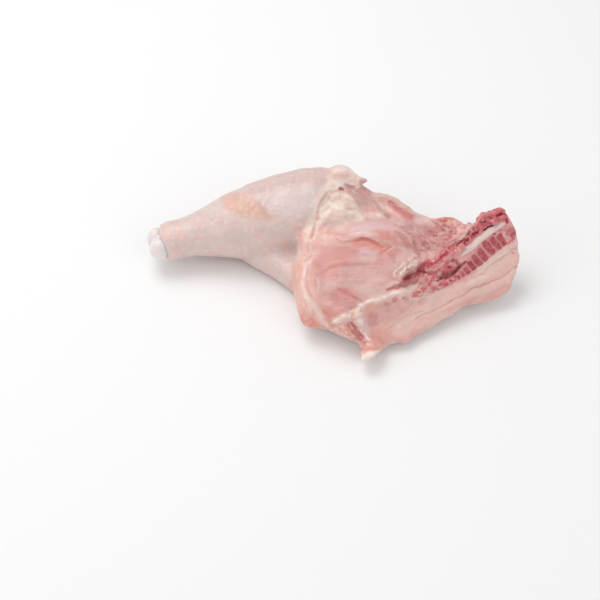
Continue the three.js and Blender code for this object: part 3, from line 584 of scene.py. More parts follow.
# Ragged tissues
RAGGED = rows(
    Ragged,
    ("streaks beside the ridge",
     ((396, 226), (418, 222), (436, 218), (452, 219), (464, 228), (458, 238), (444, 248), (424, 260),
      (406, 268), (390, 262), (394, 244)), 6, 4, 2.5, -40, 0.4, "muscle_pale", "meat_dark", 0.45),
    ("grain beside the ridge",
     ((420, 242), (434, 226), (452, 219), (466, 228), (460, 238), (444, 250), (428, 262), (418, 260)),
     6, 1.8, 1.6, -30, 0.25, "muscle_pale", "red", 0.45),
    ("flesh at the ridge",
     ((434, 217), (456, 217), (470, 228), (460, 240), (444, 236), (432, 226)),
     3, 2.2, 1.8, -25, 0.5, "ligament", "red", 0.6),
    ("edge of the bone",
     ((418, 264), (440, 252), (458, 236), (464, 240), (450, 254), (436, 266), (424, 276), (414, 276)),
     3, 1.8, 2, 38, 0.5, "pink_bone", "crimson", 0.75),
    ("end block",
     ((497, 229), (505, 225), (514, 228), (519, 244), (509, 246), (502, 234)),
     1.5, 1.3, 2.2, -55, 0.2, "white_bone", "crimson", 0.5),
    ("clotted edge of the ridge",
     ((440, 256), (444, 247), (452, 241), (461, 235), (468, 232), (466, 238), (458, 246), (450, 253),
      (443, 258)), 2, 1.5, 1.3, 40, 0.7, "grey_red", "dark", 0.85),
    ("frayed membrane over the pocket",
     ((394, 268), (402, 262), (412, 260), (416, 266), (406, 273), (400, 279), (395, 276)),
     3, 2.2, 1.5, 50, 0.3, "tendon", "rim", 0.35),
    ("shreds over the pocket",
     ((392, 277), (393, 270), (400, 262), (412, 254), (420, 254), (414, 264), (404, 271), (398, 278)),
     2.5, 1.5, 1.6, 40, 0.2, "shred", "rim", 0.35),
    ("wedge's lower edge",
     ((404, 296), (424, 290), (448, 280), (452, 284), (436, 294), (418, 302), (404, 303)),
     2.5, 1.8, 1.5, 27, 0.15, "white_bone", "red", 0.5),
    ("thigh muscles",
     ((318, 262), (345, 246), (392, 254), (398, 266), (388, 288), (350, 312), (328, 312), (314, 290)),
     6, 3.5, 4, 8, 0.15, "silver", "muscle_dark", 0.28),
    ("knee fat",
     ((322, 200), (345, 190), (364, 214), (360, 222), (336, 238), (312, 240)),
     4, 4, 1.5, -30, 0.25, "cream", "rim", 0.25),
    ("knee roll",
     ((322, 176), (344, 164), (360, 174), (360, 188), (338, 190), (322, 192)),
     3, 4, 1.5, 20, 0.4, "white_fat", "rim", 0.2),
    ("film",
     ((346, 188), (364, 184), (378, 196), (396, 218), (370, 214), (356, 202)),
     3, 2, 3, -50, 0.15, "ligament", "smoke", 0.15),
    ("tendon",
     ((330, 318), (358, 304), (400, 290), (402, 296), (368, 306), (364, 324), (374, 346), (364, 346),
      (352, 320), (334, 326)), 2, 2.4, 1.5, 20, 0.5, "white_fat", "peach", 0.4),
    ("muscle below the tendon",
     ((343, 321), (356, 321), (366, 342), (352, 336)), 2, 1.6, 4, -55, 0.35, "peach", "red", 0.6),
    ("lower band",
     ((380, 332), (440, 306), (518, 262), (524, 284), (470, 312), (380, 350)),
     4, 4, 2.5, 27, 0.25, "band", "peach", 0.45),
    ("rim",
     ((296, 262), (318, 250), (308, 270), (306, 290), (320, 312), (334, 330), (312, 336), (294, 300)),
     3, 3, 2, -70, 0.2, "tendon", "peach", 0.4),
    ("ragged skin below the tendon",
     ((327, 323), (344, 326), (355, 336), (364, 347), (354, 345), (340, 337), (326, 332)),
     2, 1.8, 1.8, -35, 0.4, "tendon", "muscle_dark", 0.6),
    ("recess",
     ((366, 306), (424, 296), (426, 304), (380, 328), (368, 326)),
     3, 2.6, 2.5, 25, 0.2, "peach", "muscle_dark", 0.4),
)

# The ragged tissues that the material gives a fine red and pale grain, and those that run on over the bone
GRAINY = ("grain beside the ridge", "flesh at the ridge", "edge of the bone", "clotted edge of the ridge")
RAGGED_ON_BONE = ("clotted edge of the ridge", "end block")

# Where the inner side shows: its outline in the photograph's pixels, clockwise from the knee
INNER_OUTLINE = (
    (331, 190), (323, 203), (317, 218), (312, 232), (310, 245), (314, 254), (306, 268), (304, 284),
    (308, 299), (318, 311), (331, 322), (345, 327), (354, 338), (362, 347), (372, 346), (384, 341),
    (400, 330), (430, 314), (462, 297), (500, 276), (522, 262), (522, 240), (512, 206), (500, 200),
    (480, 206), (462, 214), (448, 212), (427, 212), (414, 204), (396, 192), (378, 188), (366, 184),
    (357, 186), (345, 187),
)

# Where the faces are halved once more, in pixels
FINE_ZONES = (
    ((328, 322), (334, 312), (352, 304), (372, 298), (378, 306), (372, 326), (380, 344), (366, 348),
     (352, 336)),
    ((390, 278), (394, 266), (404, 256), (418, 250), (436, 240), (452, 228), (468, 226), (462, 246),
     (420, 296), (388, 296)),
    ((336, 182), (362, 178), (372, 194), (352, 200), (336, 196)),
)

# Forms that stand out of the flesh
RAISED = rows(
    Raised,
    ("knee roll", ((331, 177, 0.6), (337, 173, 0.9), (345, 173), (352, 177), (356, 182, 0.7)), 3.4, 2.9),
    ("knee fat", ((328, 214, 0.7), (337, 210), (346, 208), (354, 211, 0.8)), 5, 4.6),
    ("yellow fat lobe", ((350, 215, 0.8), (360, 216, 0.8)), 2.8, 2.5),
    ("fold over the thigh muscle",
     ((334, 236.2, 0.4), (343, 238.2, 0.8), (352, 237.2), (361, 234.6), (370, 235.6), (378, 239.5, 0.6)),
     2, 1.75),
    ("tendon's junction", ((361, 307, 0.7), (360, 312), (356, 316, 0.8)), 2.2, 1.9),
    ("tail curl",
     ((376.5, 352, 0.4), (371, 354.5, 0.9), (366, 357.5, 1.1), (360.5, 360.5, 0.7)), 2.1, 0.8),
    ("flap on the upper edge", ((378, 196, 0.6), (388, 197), (398, 202), (408, 209, 0.7)), 1.7, 1.2),
    ("flesh by the ridge", ((434, 221, 0.7), (444, 219), (452, 221), (460, 226, 0.7)), 2.4, 1.6),
)

# The small nub of gristle that stands out beside the knee: its root in pixels, its reach, its radius in
# mm and how much wider its end is
NUB_ROOT = (360, 180)
NUB_REACH = Vector((2.5, 0, -0.3)) * MM
NUB_RADIUS = 1.8
NUB_END = 1.15

# The noises of the flesh, the bone, the cord and the gristle
NOISES = {
    "waver to the side": Noise(5, 11, 2),
    "waver up and down": Noise(5, 12, 2),
    "fray": Noise(2.6, 31, 2),
    "fine fray": Noise(1.3, 32, 2),
    "broad swells": Noise(16, 3, 2),
    "small swells": Noise(5, 5, 2),
    "skin patches": Noise(9, 25, 3),
    "meat patches": Noise(9, 21, 3),
    "marrow waver along": Noise(2.5, 43, 2),
    "marrow waver up": Noise(3, 44, 2),
    "crumble": Noise(2.4, 41, 3),
    "fine crumble": Noise(1.1, 42, 1),
    "blotch": Noise(2.6, 47, 3),
    "streak": Noise(1.7, 49, 3),
    "speck": Noise(1.3, 48, 2),
    "cord": Noise(5, 51, 2),
    "gristle": Noise(6, 61, 2),
}

# How far each seed moves the noise along the axes, and how its octaves fade and shrink
SEED_STEPS = (7.3, 3.1, 5.7)
NOISE_FADE = 0.6
NOISE_GAP = 2.0


# Places and small helpers

def beam(pixel):
    """The ray from the photograph's camera through one of its pixels: start and direction."""
    across = (pixel[0] - FRAME_PIXELS / 2) * Vector((1, 0, 0))
    down = (pixel[1] - FRAME_PIXELS / 2) * CAMERA_UP
    return CAMERA_PLACE, (across - down - CAMERA_BACK * FOCAL_PIXELS).normalized()


def spot_on(tree, pixel):
    """The point of a surface that shows at a pixel, or the nearest one where the ray passes by it."""
    start, direction = beam(pixel)
    hit = tree.ray_cast(start, direction)[0]
    if hit is None:
        hit = tree.find_nearest(start + direction * CAMERA_REACH)[0]
    return hit


def seen_at(points):
    """Where points show in the photograph, in its pixels."""
    away = points - np.array(CAMERA_PLACE)
    depth = -away @ np.array(CAMERA_BACK)
    x = FRAME_PIXELS / 2 + FOCAL_PIXELS * away[:, 0] / depth
    y = FRAME_PIXELS / 2 - FOCAL_PIXELS * (away @ np.array(CAMERA_UP)) / depth
    return np.stack([x, y], axis=1)


def on_cut(u, v, n):
    """A point of the sawn face, from its place in mm."""
    return CUT_FRAME @ (Vector((u, v, n)) * MM)


def on_face(points):
    """Places of points in the frame of the sawn face, in mm."""
    return (points - np.array(CUT_ORIGIN)) @ np.array([CUT_U, CUT_V, CUT_N]).T / MM


def smooth_step(low, high, value):
    """From 0 at the low value smoothly to 1 at the high one, which may be the smaller number."""
    share = np.clip((value - low) / (high - low), 0, 1)
    return share * share * (3 - 2 * share)


def stops_of(path):
    """The pixels of a path, each with its width scale."""
    return [(stop[:2], stop[2] if len(stop) > 2 else 1.0) for stop in path]


def distance_to(pixels, path):
    """How far places lie from a path of the photograph, in pixels, shared by the width scale there."""
    best = np.full(len(pixels), np.inf)
    scale = np.ones(len(pixels))
    stops = [(np.array(place, float), width) for place, width in stops_of(path)]
    for (start, start_scale), (end, end_scale) in zip(stops, stops[1:]):
        along = end - start
        share = np.clip((pixels - start) @ along / max(along @ along, 1e-9), 0, 1)
        away = np.linalg.norm(pixels - start - share[:, None] * along, axis=1)
        nearer = away < best
        best[nearer] = away[nearer]
        scale[nearer] = (start_scale + share * (end_scale - start_scale))[nearer]
    return best / scale


def inside(pixels, outline):
    """How far pixels lie inside an outline, in pixels, with a minus outside."""
    away = np.full(len(pixels), np.inf)
    within = np.zeros(len(pixels), bool)
    corners = [np.array(corner, float) for corner in outline]
    for start, end in zip(corners, corners[1:] + corners[:1]):
        along = end - start
        share = np.clip((pixels - start) @ along / (along @ along), 0, 1)
        away = np.minimum(away, np.linalg.norm(pixels - start - share[:, None] * along, axis=1))
        spans = (start[1] > pixels[:, 1]) != (end[1] > pixels[:, 1])
        crossing = start[0] + (pixels[:, 1] - start[1]) * along[0] / (along[1] or 1e-9)
        within ^= spans & (pixels[:, 0] < crossing)
    return np.where(within, away, -away)


def area_mask(pixels, area):
    """How far pixels lie in an area or a ragged tissue, from 0 to 1."""
    return smooth_step(-area.soft, area.soft, inside(pixels, area.outline))


def stroke_distance(pixels, stroke):
    """How far pixels lie from a stroke, as a share of its half width."""
    return distance_to(pixels, stroke.path) * PIXEL_MM / stroke.width


def traced(tree, path):
    """The path on a surface below a path in pixels, each stop with its width scale."""
    return [(spot_on(tree, pixel), scale) for pixel, scale in stops_of(path)]


def seeded_noise(points, size, seed, octaves):
    """Noise from -1 to 1 at each point, with lumps of a size in mm."""
    offset = Vector([seed * step for step in SEED_STEPS])
    places = (Vector(point) / (size * MM) + offset for point in points)
    return np.array([noise.fractal(place, NOISE_FADE, NOISE_GAP, octaves) for place in places])


def rough(points, name):
    """One of the named noises at each point."""
    return seeded_noise(points, *NOISES[name])


def wavered(points, amount):
    """Where points show in the photograph, with a waver of an amount in pixels."""
    waver = np.stack([rough(points, "waver to the side"), rough(points, "waver up and down")], axis=1)
    return seen_at(points) + waver * amount


# Making pieces

# How near points are welded, and the detail of the balls and how close they lie, as a share of their radius
WELD = 0.01 * MM
BALL_DETAIL = 2
STRING_STEP = 0.4


def solid_copy(*nodes):
    """A bmesh with the welded solids of some CAD nodes."""
    bm = bmesh.new()
    for node in nodes:
        bm.from_mesh(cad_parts[node].data)
    bmesh.ops.remove_doubles(bm, verts=bm.verts, dist=WELD)
    return bm


def add_ball(bm, place, radius, squash=(1, 1, 1), turn=None, detail=BALL_DETAIL):
    """A ball, or with a squash an egg, added to a bmesh."""
    matrix = Matrix.Translation(place) @ (turn or Matrix.Identity(4)) @ Matrix.Diagonal((*squash, 1))
    bmesh.ops.create_icosphere(bm, subdivisions=detail, radius=radius, matrix=matrix)


def add_string(bm, path, radius, step=STRING_STEP):
    """Balls that overlap along a path, which become one smooth cord when the piece is fused."""
    for (start, start_scale), (end, end_scale) in zip(path, path[1:]):
        count = max(1, round((end - start).length / (radius * step)))
        for i in range(count + 1):
            share = i / count
            add_ball(bm, start.lerp(end, share), radius * (start_scale + share * (end_scale - start_scale)))


def make_piece(name, bm, node):
    """An object of a finished bmesh, which rides on the body and replaces a CAD node."""
    mesh = bpy.data.meshes.new(name)
    bm.to_mesh(mesh)
    bm.free()
    mesh.shade_smooth()
    piece = bpy.data.objects.new(name, mesh)
    bpy.context.scene.collection.objects.link(piece)
    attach(piece, "root")
    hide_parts(node)
    return piece


def finish_piece(piece, clay, material):
    """Writes the points of a piece back and gives it its material."""
    clay.write()
    piece.data.shade_smooth()
    piece.data.materials.clear()
    piece.data.materials.append(material)


def fuse(piece, cell):
    """Fuses the shells of a piece into one even skin of small faces."""
    modifier = piece.modifiers.new("fuse", "REMESH")
    modifier.mode = "VOXEL"
    modifier.voxel_size = cell
    modifier.use_smooth_shade = True
    graph = bpy.context.evaluated_depsgraph_get()
    mesh = bpy.data.meshes.new_from_object(piece.evaluated_get(graph))
    piece.modifiers.clear()
    old = piece.data
    mesh.name = old.name
    piece.data = mesh
    bpy.data.meshes.remove(old)


class Clay:
    """A fused piece's points as arrays, to be smoothed, pushed and painted, and then written back."""

    def __init__(self, piece):
        self.mesh = piece.data
        self.points = np.empty(len(self.mesh.vertices) * 3)
        self.mesh.vertices.foreach_get("co", self.points)
        self.points = self.points.reshape(-1, 3)
        self.edges = np.empty(len(self.mesh.edges) * 2, int)
        self.mesh.edges.foreach_get("vertices", self.edges)
        self.edges = self.edges.reshape(-1, 2)
        self.colour = np.tile(linear(TISSUES["muscle"]), (len(self.points), 1))

    def write(self):
        """Puts the points back into the mesh."""
        self.mesh.vertices.foreach_set("co", self.points.ravel())
        self.mesh.update()

    def normals(self):
        """The directions in which the surface faces at the points."""
        self.write()
        normals = np.empty(len(self.points) * 3)
        self.mesh.vertices.foreach_get("normal", normals)
        return normals.reshape(-1, 3)

    def tree(self):
        """The surface as a tree that rays and nearest points are looked up in."""
        self.write()
        polygons = [tuple(face.vertices) for face in self.mesh.polygons]
        return BVHTree.FromPolygons([Vector(p) for p in self.points], polygons)

    def spread(self, values, rounds=1):
        """Values averaged with those of the neighbouring points."""
        start, end = self.edges.T
        points = len(self.points)
        count = np.bincount(self.edges.ravel(), minlength=points)
        flat = values.ndim == 1
        values = values[:, None] if flat else values
        for _ in range(rounds):
            total = np.empty_like(values)
            for axis, column in enumerate(values.T):
                total[:, axis] = np.bincount(start, column[end], points)
                total[:, axis] += np.bincount(end, column[start], points)
            values = 0.5 * values + 0.5 * total / count[:, None]
        return values[:, 0] if flat else values

    def relax(self, rounds, weight=1.0, swell=0.0):
        """Smooths the points, all over or by a weight. With a swell each round is also pushed back as far."""
        weight = np.broadcast_to(weight, len(self.points))[:, None]
        for _ in range(rounds):
            for share in (1, -swell) if swell else (1,):
                self.points = self.points + (self.spread(self.points) - self.points) * weight * share

    def push(self, amount):
        """Moves the points along their normals by an amount in mm."""
        self.points += self.normals() * (amount * MM)[:, None]

    def paint(self, mask, tissue):
        """Lays a tissue's colour on the points, as thick as the mask says."""
        colour = linear(TISSUES[tissue])
        self.colour += (colour - self.colour) * np.clip(mask, 0, 1)[:, None]

    def mottle(self, masks, values, table):
        """Lays on the colours of a table of mottles, in its order."""
        for row in table:
            share = smooth_step(row.low, row.high, values[row.value])
            self.paint(masks[row.mask] * share * row.strength, row.tissue)

    def keep(self, name, values):
        """Stores a mask on the mesh for the materials."""
        attribute = self.mesh.attributes.new(name, "FLOAT", "POINT")
        attribute.data.foreach_set("value", np.clip(values, 0, 1).astype(np.float32))

    def keep_colour(self):
        """Stores the painted colours on the mesh for the materials."""
        attribute = self.mesh.color_attributes.new("tissue", "FLOAT_COLOR", "POINT")
        rgba = np.ones((len(self.points), 4), np.float32)
        rgba[:, :3] = self.colour
        attribute.data.foreach_set("color", rgba.ravel())


# Relief and colours from the tables

# How far a surface faces the camera where the tables begin to show and show in full. The clots and the
# bone, which stand steep, take them from further round.
FACING = (0.0, 0.3)
FACING_STEEP = (-0.4, 0.0)

# Where a stroke's colour begins and is full, as a share of its half width, and how much noise frays it
STROKE_EDGE = (1.7, 0.3)
FRAY = 0.4

# The noise at which a lump of ragged tissue has its full colour, the first seed and the octaves of the
# lumps, and the least mask that they are made for
LUMP_FULL = 0.45
LUMP_SEED = 70
LUMP_OCTAVES = 3
LEAST_MASK = 0.01


def facing_camera(clay, limits=FACING):
    """How much each point of a piece faces the photograph's camera."""
    return smooth_step(*limits, clay.normals() @ np.array(CAMERA_BACK))


def marked(clay, areas, strokes):
    """How far areas and strokes raise each point, in mm."""
    pixels = seen_at(clay.points)
    amount = np.zeros(len(clay.points))
    for area in areas:
        if area.rise:
            amount += area.rise * area_mask(pixels, area)
    for stroke in strokes:
        if stroke.rise:
            away = stroke_distance(pixels, stroke)
            amount += stroke.rise * np.exp(-away * away)
    return amount


def coloured(clay, areas, strokes, waver, facing, ragged=0.0):
    """Paints areas and strokes, and gives back how smooth a tissue covers each point."""
    points = clay.points
    pixels = wavered(points, waver)
    smooth = np.zeros(len(points))
    for area in areas:
        mask = area.strength * area_mask(pixels, area) * facing
        clay.paint(mask, area.tissue)
        smooth += (float(area.tissue in SMOOTH_TISSUES) - smooth) * mask
    fray = FRAY * rough(points, "fray") + ragged * rough(points, "fine fray")
    for stroke in strokes:
        if stroke.tissue:
            away = stroke_distance(pixels, stroke)
            mask = stroke.strength * smooth_step(*STROKE_EDGE, away + fray) * facing
            clay.paint(mask, stroke.tissue)
            smooth += (float(stroke.tissue in SMOOTH_TISSUES) - smooth) * mask
    return smooth


def lumps(points, mask, number):
    """The noise of a ragged tissue where a mask is open, 0 elsewhere, drawn out along its direction."""
    tissue = RAGGED[number]
    turn = math.radians(tissue.angle)
    along = np.array(math.cos(turn) * Vector((1, 0, 0)) + math.sin(turn) * CAMERA_UP)
    result = np.zeros(len(points))
    chosen = mask > LEAST_MASK
    if chosen.any():
        place = points[chosen] - np.outer(points[chosen] @ along, along) * (1 - 1 / tissue.length)
        result[chosen] = seeded_noise(place, tissue.size, LUMP_SEED + number, LUMP_OCTAVES)
    return result


def paint_ragged(clay, pixels, facing, names):
    """Paints the named ragged tissues, and gives back where the material gives them a fine grain."""
    grain = np.zeros(len(clay.points))
    for number, tissue in enumerate(RAGGED):
        if tissue.name in names:
            mask = tissue.strength * area_mask(pixels, tissue) * facing
            patches = lumps(clay.points, mask, number)
            clay.paint(mask * smooth_step(0, LUMP_FULL, patches), tissue.light)
            clay.paint(mask * smooth_step(0, LUMP_FULL, -patches), tissue.dark)
            if tissue.name in GRAINY:
                grain = np.maximum(grain, mask * mask)
    return grain


# The flesh

# The first smoothing keeps the sawn face: how far out of it, and how far below it, in mm, it begins and
# is full, and its least share anywhere
SMOOTH_OUT = (1.0, 6.0)
SMOOTH_BELOW = (6.5, 3.0)
LEAST_SMOOTHING = 0.1

# How far each round is pushed back, and the rounds of smoothing after the fusing and after the halving
SWELL = 1.04
FUSED_SMOOTHING = 4
HALVED_SMOOTHING = 2

# How many pixels past the inner side's outline faces are halved, and how far they must face the camera
HALVED_PAST = 4
HALVED_FACING = 0.1

# Unevenness of the flesh in mm, and the share of the small swells that the skin side has
BROAD_SWELL = 0.5
SMALL_SWELL = 0.25
SKIN_SWELL = 0.4

# The flesh round the bone: how near it gives way, from what depth it sinks, in mm, and how steeply
BONE_REACH = 2.5
SINK_START = 1.0
SINK = 2.2

# The painted sawn face: its distance from the plane in mm, its slope, and its place along u in mm
FACE_DEPTH = (1.8, 0.9)
FACE_SLOPE = (0.4, 0.7)
FACE_ALONG = (-30, -20)

# The peach skin round the rear of the thigh: its rows and its width, in pixels
REAR_ROWS = (250, 265)
REAR_WIDTH = (16, 3)

# The soft edge of the inner side and the waver of what is painted, in pixels
INNER_EDGE = (-1.5, 1.5)
FLESH_WAVER = 1.2
CLOT_WAVER = 0.6
CLOT_FRAY = 0.5

# Rounds by which masks are spread, and how thick the muscle lies that is painted under the bone
MASK_SPREAD = 2
BONE_SPREAD = 6
UNDER_BONE = 1.4

# Mottles of the skin and of the meat
SKIN_MOTTLES = rows(
    Mottle,
    ("all", "skin patches", 0.0, 0.6, 0.6, "skin_pink"),
    ("all", "skin patches", -0.1, -0.6, 0.35, "silver"),
)
MEAT_MOTTLES = rows(
    Mottle,
    ("inner", "meat patches", 0.0, 0.6, 0.5, "muscle_pale"),
    ("inner", "meat patches", 0.0, -0.6, 0.4, "muscle_dark"),
)


def raised_forms(tree):
    """Strings of balls that lie half sunk on a surface, and the nub."""
    bm = bmesh.new()
    root = spot_on(tree, NUB_ROOT)
    add_string(bm, [(root, 1.0), (root + NUB_REACH, NUB_END)], NUB_RADIUS * MM)
    for form in RAISED:
        path = []
        for spot, scale in traced(tree, form.path):
            normal = tree.find_nearest(spot)[1]
            path.append((spot + normal * (form.radius * scale - form.sunk) * MM, scale))
        add_string(bm, path, form.radius * MM)
    return bm


def pull(clay):
    """Draws a piece sideways along the floor where its outline has to lie elsewhere."""
    pixels = seen_at(clay.points)
    for place in PULLS:
        away = ((pixels - place.middle) / (place.reach_x, place.reach_y)) ** 2
        share = np.exp(-away.sum(axis=1)) * PIXEL_MM * MM
        clay.points[:, 0] += place.right * share
        clay.points[:, 1] -= place.down * share / math.sin(CAMERA_PITCH)


def refine(piece, outline, past=0):
    """Halves the faces of the inner side inside an outline, where the fine forms lie."""
    clay = Clay(piece)
    wanted = inside(seen_at(clay.points), outline) > -past
    wanted &= clay.normals() @ np.array(CAMERA_BACK) > HALVED_FACING
    bm = bmesh.new()
    bm.from_mesh(piece.data)
    edges = [edge for edge in bm.edges if wanted[edge.verts[0].index] and wanted[edge.verts[1].index]]
    bmesh.ops.subdivide_edges(bm, edges=edges, cuts=1, use_grid_fill=True)
    bmesh.ops.triangulate(bm, faces=[face for face in bm.faces if len(face.verts) > 4])
    bm.to_mesh(piece.data)
    bm.free()


def build_flesh(sizes):
    """Fuses, fits, carves and paints the flesh."""
    piece = make_piece("flesh_body", solid_copy("flesh", "backbone"), "flesh")
    fuse(piece, sizes.rough_cell)
    clay = Clay(piece)
    _, up, out = on_face(clay.points).T
    loose = np.maximum(smooth_step(*SMOOTH_OUT, np.abs(out)), smooth_step(*SMOOTH_BELOW, up))
    clay.relax(sizes.smoothing, np.clip(loose + LEAST_SMOOTHING, 0, 1), SWELL)
    pull(clay)
    forms = raised_forms(clay.tree())
    forms.from_mesh(piece.data)
    forms.to_mesh(piece.data)
    forms.free()
    fuse(piece, sizes.fine_cell)

    clay = Clay(piece)
    clay.relax(FUSED_SMOOTHING, swell=1.0)
    clay.write()
    refine(piece, INNER_OUTLINE, HALVED_PAST)
    for zone in FINE_ZONES:
        refine(piece, zone)
    clay = Clay(piece)
    clay.relax(HALVED_SMOOTHING)
    paint_flesh(clay, carve_flesh(clay))
    clay.points[:, 2] = np.maximum(clay.points[:, 2], 0)
    finish_piece(piece, clay, flesh_material())


def under_bone(points):
    """How near points are to the backbone, 1 on it, and how deep they lie under its middle, in mm."""
    trees = []
    for node in ("backbone", "flesh"):
        bm = solid_copy(node)
        trees.append(BVHTree.FromBMesh(bm))
        bm.free()
    near = np.zeros(len(points))
    depth = np.zeros(len(points))
    low, high = (np.array(corner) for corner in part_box("backbone"))
    reach = BONE_REACH * MM
    close = ((points > low - reach) & (points < high + reach)).all(axis=1)
    for i in np.nonzero(close)[0]:
        place = Vector(points[i])
        away = trees[0].find_nearest(place, reach)[3]
        if away is not None:
            near[i] = 1 - away / reach
            edge = trees[1].find_nearest(place, reach)[3]
            depth[i] = near[i] * (reach if edge is None else edge) / MM
    return near, depth


def carve_flesh(clay):
    """Gives the flesh its relief, and gives back how near each point is to the backbone."""
    facing = facing_camera(clay)
    pixels = seen_at(clay.points)
    amount = marked(clay, AREAS, FOLDS + FACE_LINES + CLOTS) * facing
    amount += BROAD_SWELL * rough(clay.points, "broad swells")
    small = SKIN_SWELL + (1 - SKIN_SWELL) * facing
    amount += SMALL_SWELL * rough(clay.points, "small swells") * small
    for number, tissue in enumerate(RAGGED):
        mask = area_mask(pixels, tissue) * facing
        amount += tissue.rise * mask * lumps(clay.points, mask, number)
    bone, depth = under_bone(clay.points)
    clay.push(amount * (1 - bone) - SINK * np.maximum(depth - SINK_START, 0))
    clay.relax(1)
    return bone


def paint_flesh(clay, bone):
    """Paints the skin, the inner side and the sawn face, and keeps the masks that the material reads."""
    points, normals = clay.points, clay.normals()
    pixels = wavered(points, FLESH_WAVER)
    facing = facing_camera(clay)
    away = inside(pixels, INNER_OUTLINE)
    inner = facing * smooth_step(*INNER_EDGE, away)
    u, _, n = on_face(points).T
    face = smooth_step(*FACE_DEPTH, np.abs(n)) * smooth_step(*FACE_SLOPE, normals @ np.array(CUT_N))
    face *= smooth_step(*FACE_ALONG, u)
    rear = smooth_step(*REAR_ROWS, pixels[:, 1]) * smooth_step(*REAR_WIDTH, -away)
    masks = {"all": np.ones(len(points)), "inner": inner}
    patches = {name: rough(points, name) for name in ("skin patches", "meat patches")}

    clay.paint(masks["all"], "skin")
    clay.mottle(masks, patches, SKIN_MOTTLES)
    clay.paint(rear * (1 - inner) * facing, "peach")
    clay.paint(clay.spread(bone, BONE_SPREAD) * (1 - facing) * UNDER_BONE, "muscle")
    clay.paint(inner, "muscle")
    clay.mottle(masks, patches, MEAT_MOTTLES)
    clay.paint(face, "band")
    fat = coloured(clay, AREAS, FOLDS + FACE_LINES, FLESH_WAVER, facing)
    grain = paint_ragged(clay, pixels, facing, [tissue.name for tissue in RAGGED])
    coloured(clay, (), CLOTS, CLOT_WAVER, facing_camera(clay, FACING_STEEP), CLOT_FRAY)
    clay.keep("skin", clay.spread((1 - inner) * (1 - face), MASK_SPREAD))
    clay.keep("fat", fat)
    clay.keep("grain", grain)
    clay.keep("inner", clay.spread(inner, MASK_SPREAD))
    clay.keep_colour()


# Materials

# What the materials share: mottled colour, fine wrinkles and wet patches. Scales are for each metre.
BROAD_SCALE = 90.0
FINE_SCALE = 420.0
TINY_SCALE = 1500.0
BROAD_SHARE = 0.6
FINE_SHARE = 0.7
MOTTLE_GAIN = 4.0
WET_PATCHES = (0.3, 0.7)
WET_ROUGHNESS = (0.28, 0.5)
WET_TISSUE = {
    "Subsurface Weight": 0.3,
    "Subsurface Radius": (1.0, 0.36, 0.24),
    "Subsurface Scale": 0.006,
    "Coat Weight": 0.35,
    "Coat Roughness": 0.16,
    "IOR": 1.4,
}

# The follicles of the skin, with a paler spot on each
FOLLICLE_SCALE = 230.0
FOLLICLE_ORDER = 0.7
FOLLICLE_EDGE = (0.5, 0.0)
FOLLICLE_TINT = 0.28
FOLLICLE_HEIGHT = 0.9

# The fibres of the muscles, drawn out along the thigh
FIBRE_TURN = math.radians(14)
FIBRE_STRETCH = (0.22, 1, 1)
FIBRE_SCALE = 700.0
FIBRE_HEIGHT = 1.2

# Shreds of the ragged meat: where the bloody and the pale ones begin and are full, and their strength
SHRED_SCALE = 900.0
BLOODY_SHREDS = (0.53, 0.68)
BLOODY_STRENGTH = 0.7
PALE_SHREDS = (0.46, 0.34)
PALE_STRENGTH = 0.6

# The pores of the spongy bone
PORE_SCALE = 800.0
PORE_EDGE = (0.35, 0.1)
PORE_TINT = 0.35
PORE_DEPTH = 1.6

# How high the bump of each material stands
FLESH_BUMP = 0.3 * MM
BONE_BUMP = 0.28 * MM
PLAIN_BUMP = 0.2 * MM


def add_node(tree, kind, inputs=None, **settings):
    """A shader node with its settings, values and incoming links."""
    node = tree.nodes.new(kind)
    for key, value in settings.items():
        setattr(node, key, value)
    for key, value in (inputs or {}).items():
        if isinstance(value, bpy.types.NodeSocket):
            tree.links.new(value, node.inputs[key])
        else:
            node.inputs[key].default_value = value
    return node


def math_node(tree, operation, *values):
    """The result of one sum."""
    return add_node(tree, "ShaderNodeMath", dict(enumerate(values)), operation=operation).outputs[0]


def product(tree, first, *others):
    """Values multiplied with each other."""
    for value in others:
        first = math_node(tree, "MULTIPLY", first, value)
    return first


def weighed(tree, start, *terms):
    """A value plus others, each times its weight."""
    for value, weight in terms:
        start = math_node(tree, "ADD", start, math_node(tree, "MULTIPLY", value, weight))
    return start


def mix_colour(tree, share, first, second, blend="MIX"):
    """Two colours mixed by a share."""
    node = add_node(tree, "ShaderNodeMix", data_type="RGBA", blend_type=blend)
    for socket, value in zip((node.inputs[0], node.inputs[6], node.inputs[7]), (share, first, second)):
        if isinstance(value, bpy.types.NodeSocket):
            tree.links.new(value, socket)
        else:
            socket.default_value = value
    return node.outputs[2]


def ramp(tree, value, limits, to=(0.0, 1.0)):
    """A value taken smoothly from one pair of limits to another."""
    ends = zip(("From Min", "From Max", "To Min", "To Max"), (*limits, *to))
    return add_node(tree, "ShaderNodeMapRange", {"Value": value, **dict(ends)},
                    interpolation_type="SMOOTHSTEP").outputs[0]


def opaque(colour):
    """A linear colour with its alpha."""
    return (*colour, 1)


def new_group(name, inputs, outputs):
    """A shader node group with named sockets, and its input and output nodes."""
    group = bpy.data.node_groups.new(name, "ShaderNodeTree")
    for socket, kind, default in inputs:
        made = group.interface.new_socket(socket, in_out="INPUT", socket_type=kind)
        if default is not None:
            made.default_value = default
    for socket, kind in outputs:
        group.interface.new_socket(socket, in_out="OUTPUT", socket_type=kind)
    return group, group.nodes.new("NodeGroupInput"), group.nodes.new("NodeGroupOutput")


def noise_node(tree, vector, scale, detail, distortion=0.0):
    """A noise that varies over the surface."""
    inputs = {"Vector": vector, "Scale": scale, "Detail": detail, "Distortion": distortion}
    return add_node(tree, "ShaderNodeTexNoise", inputs).outputs[0]


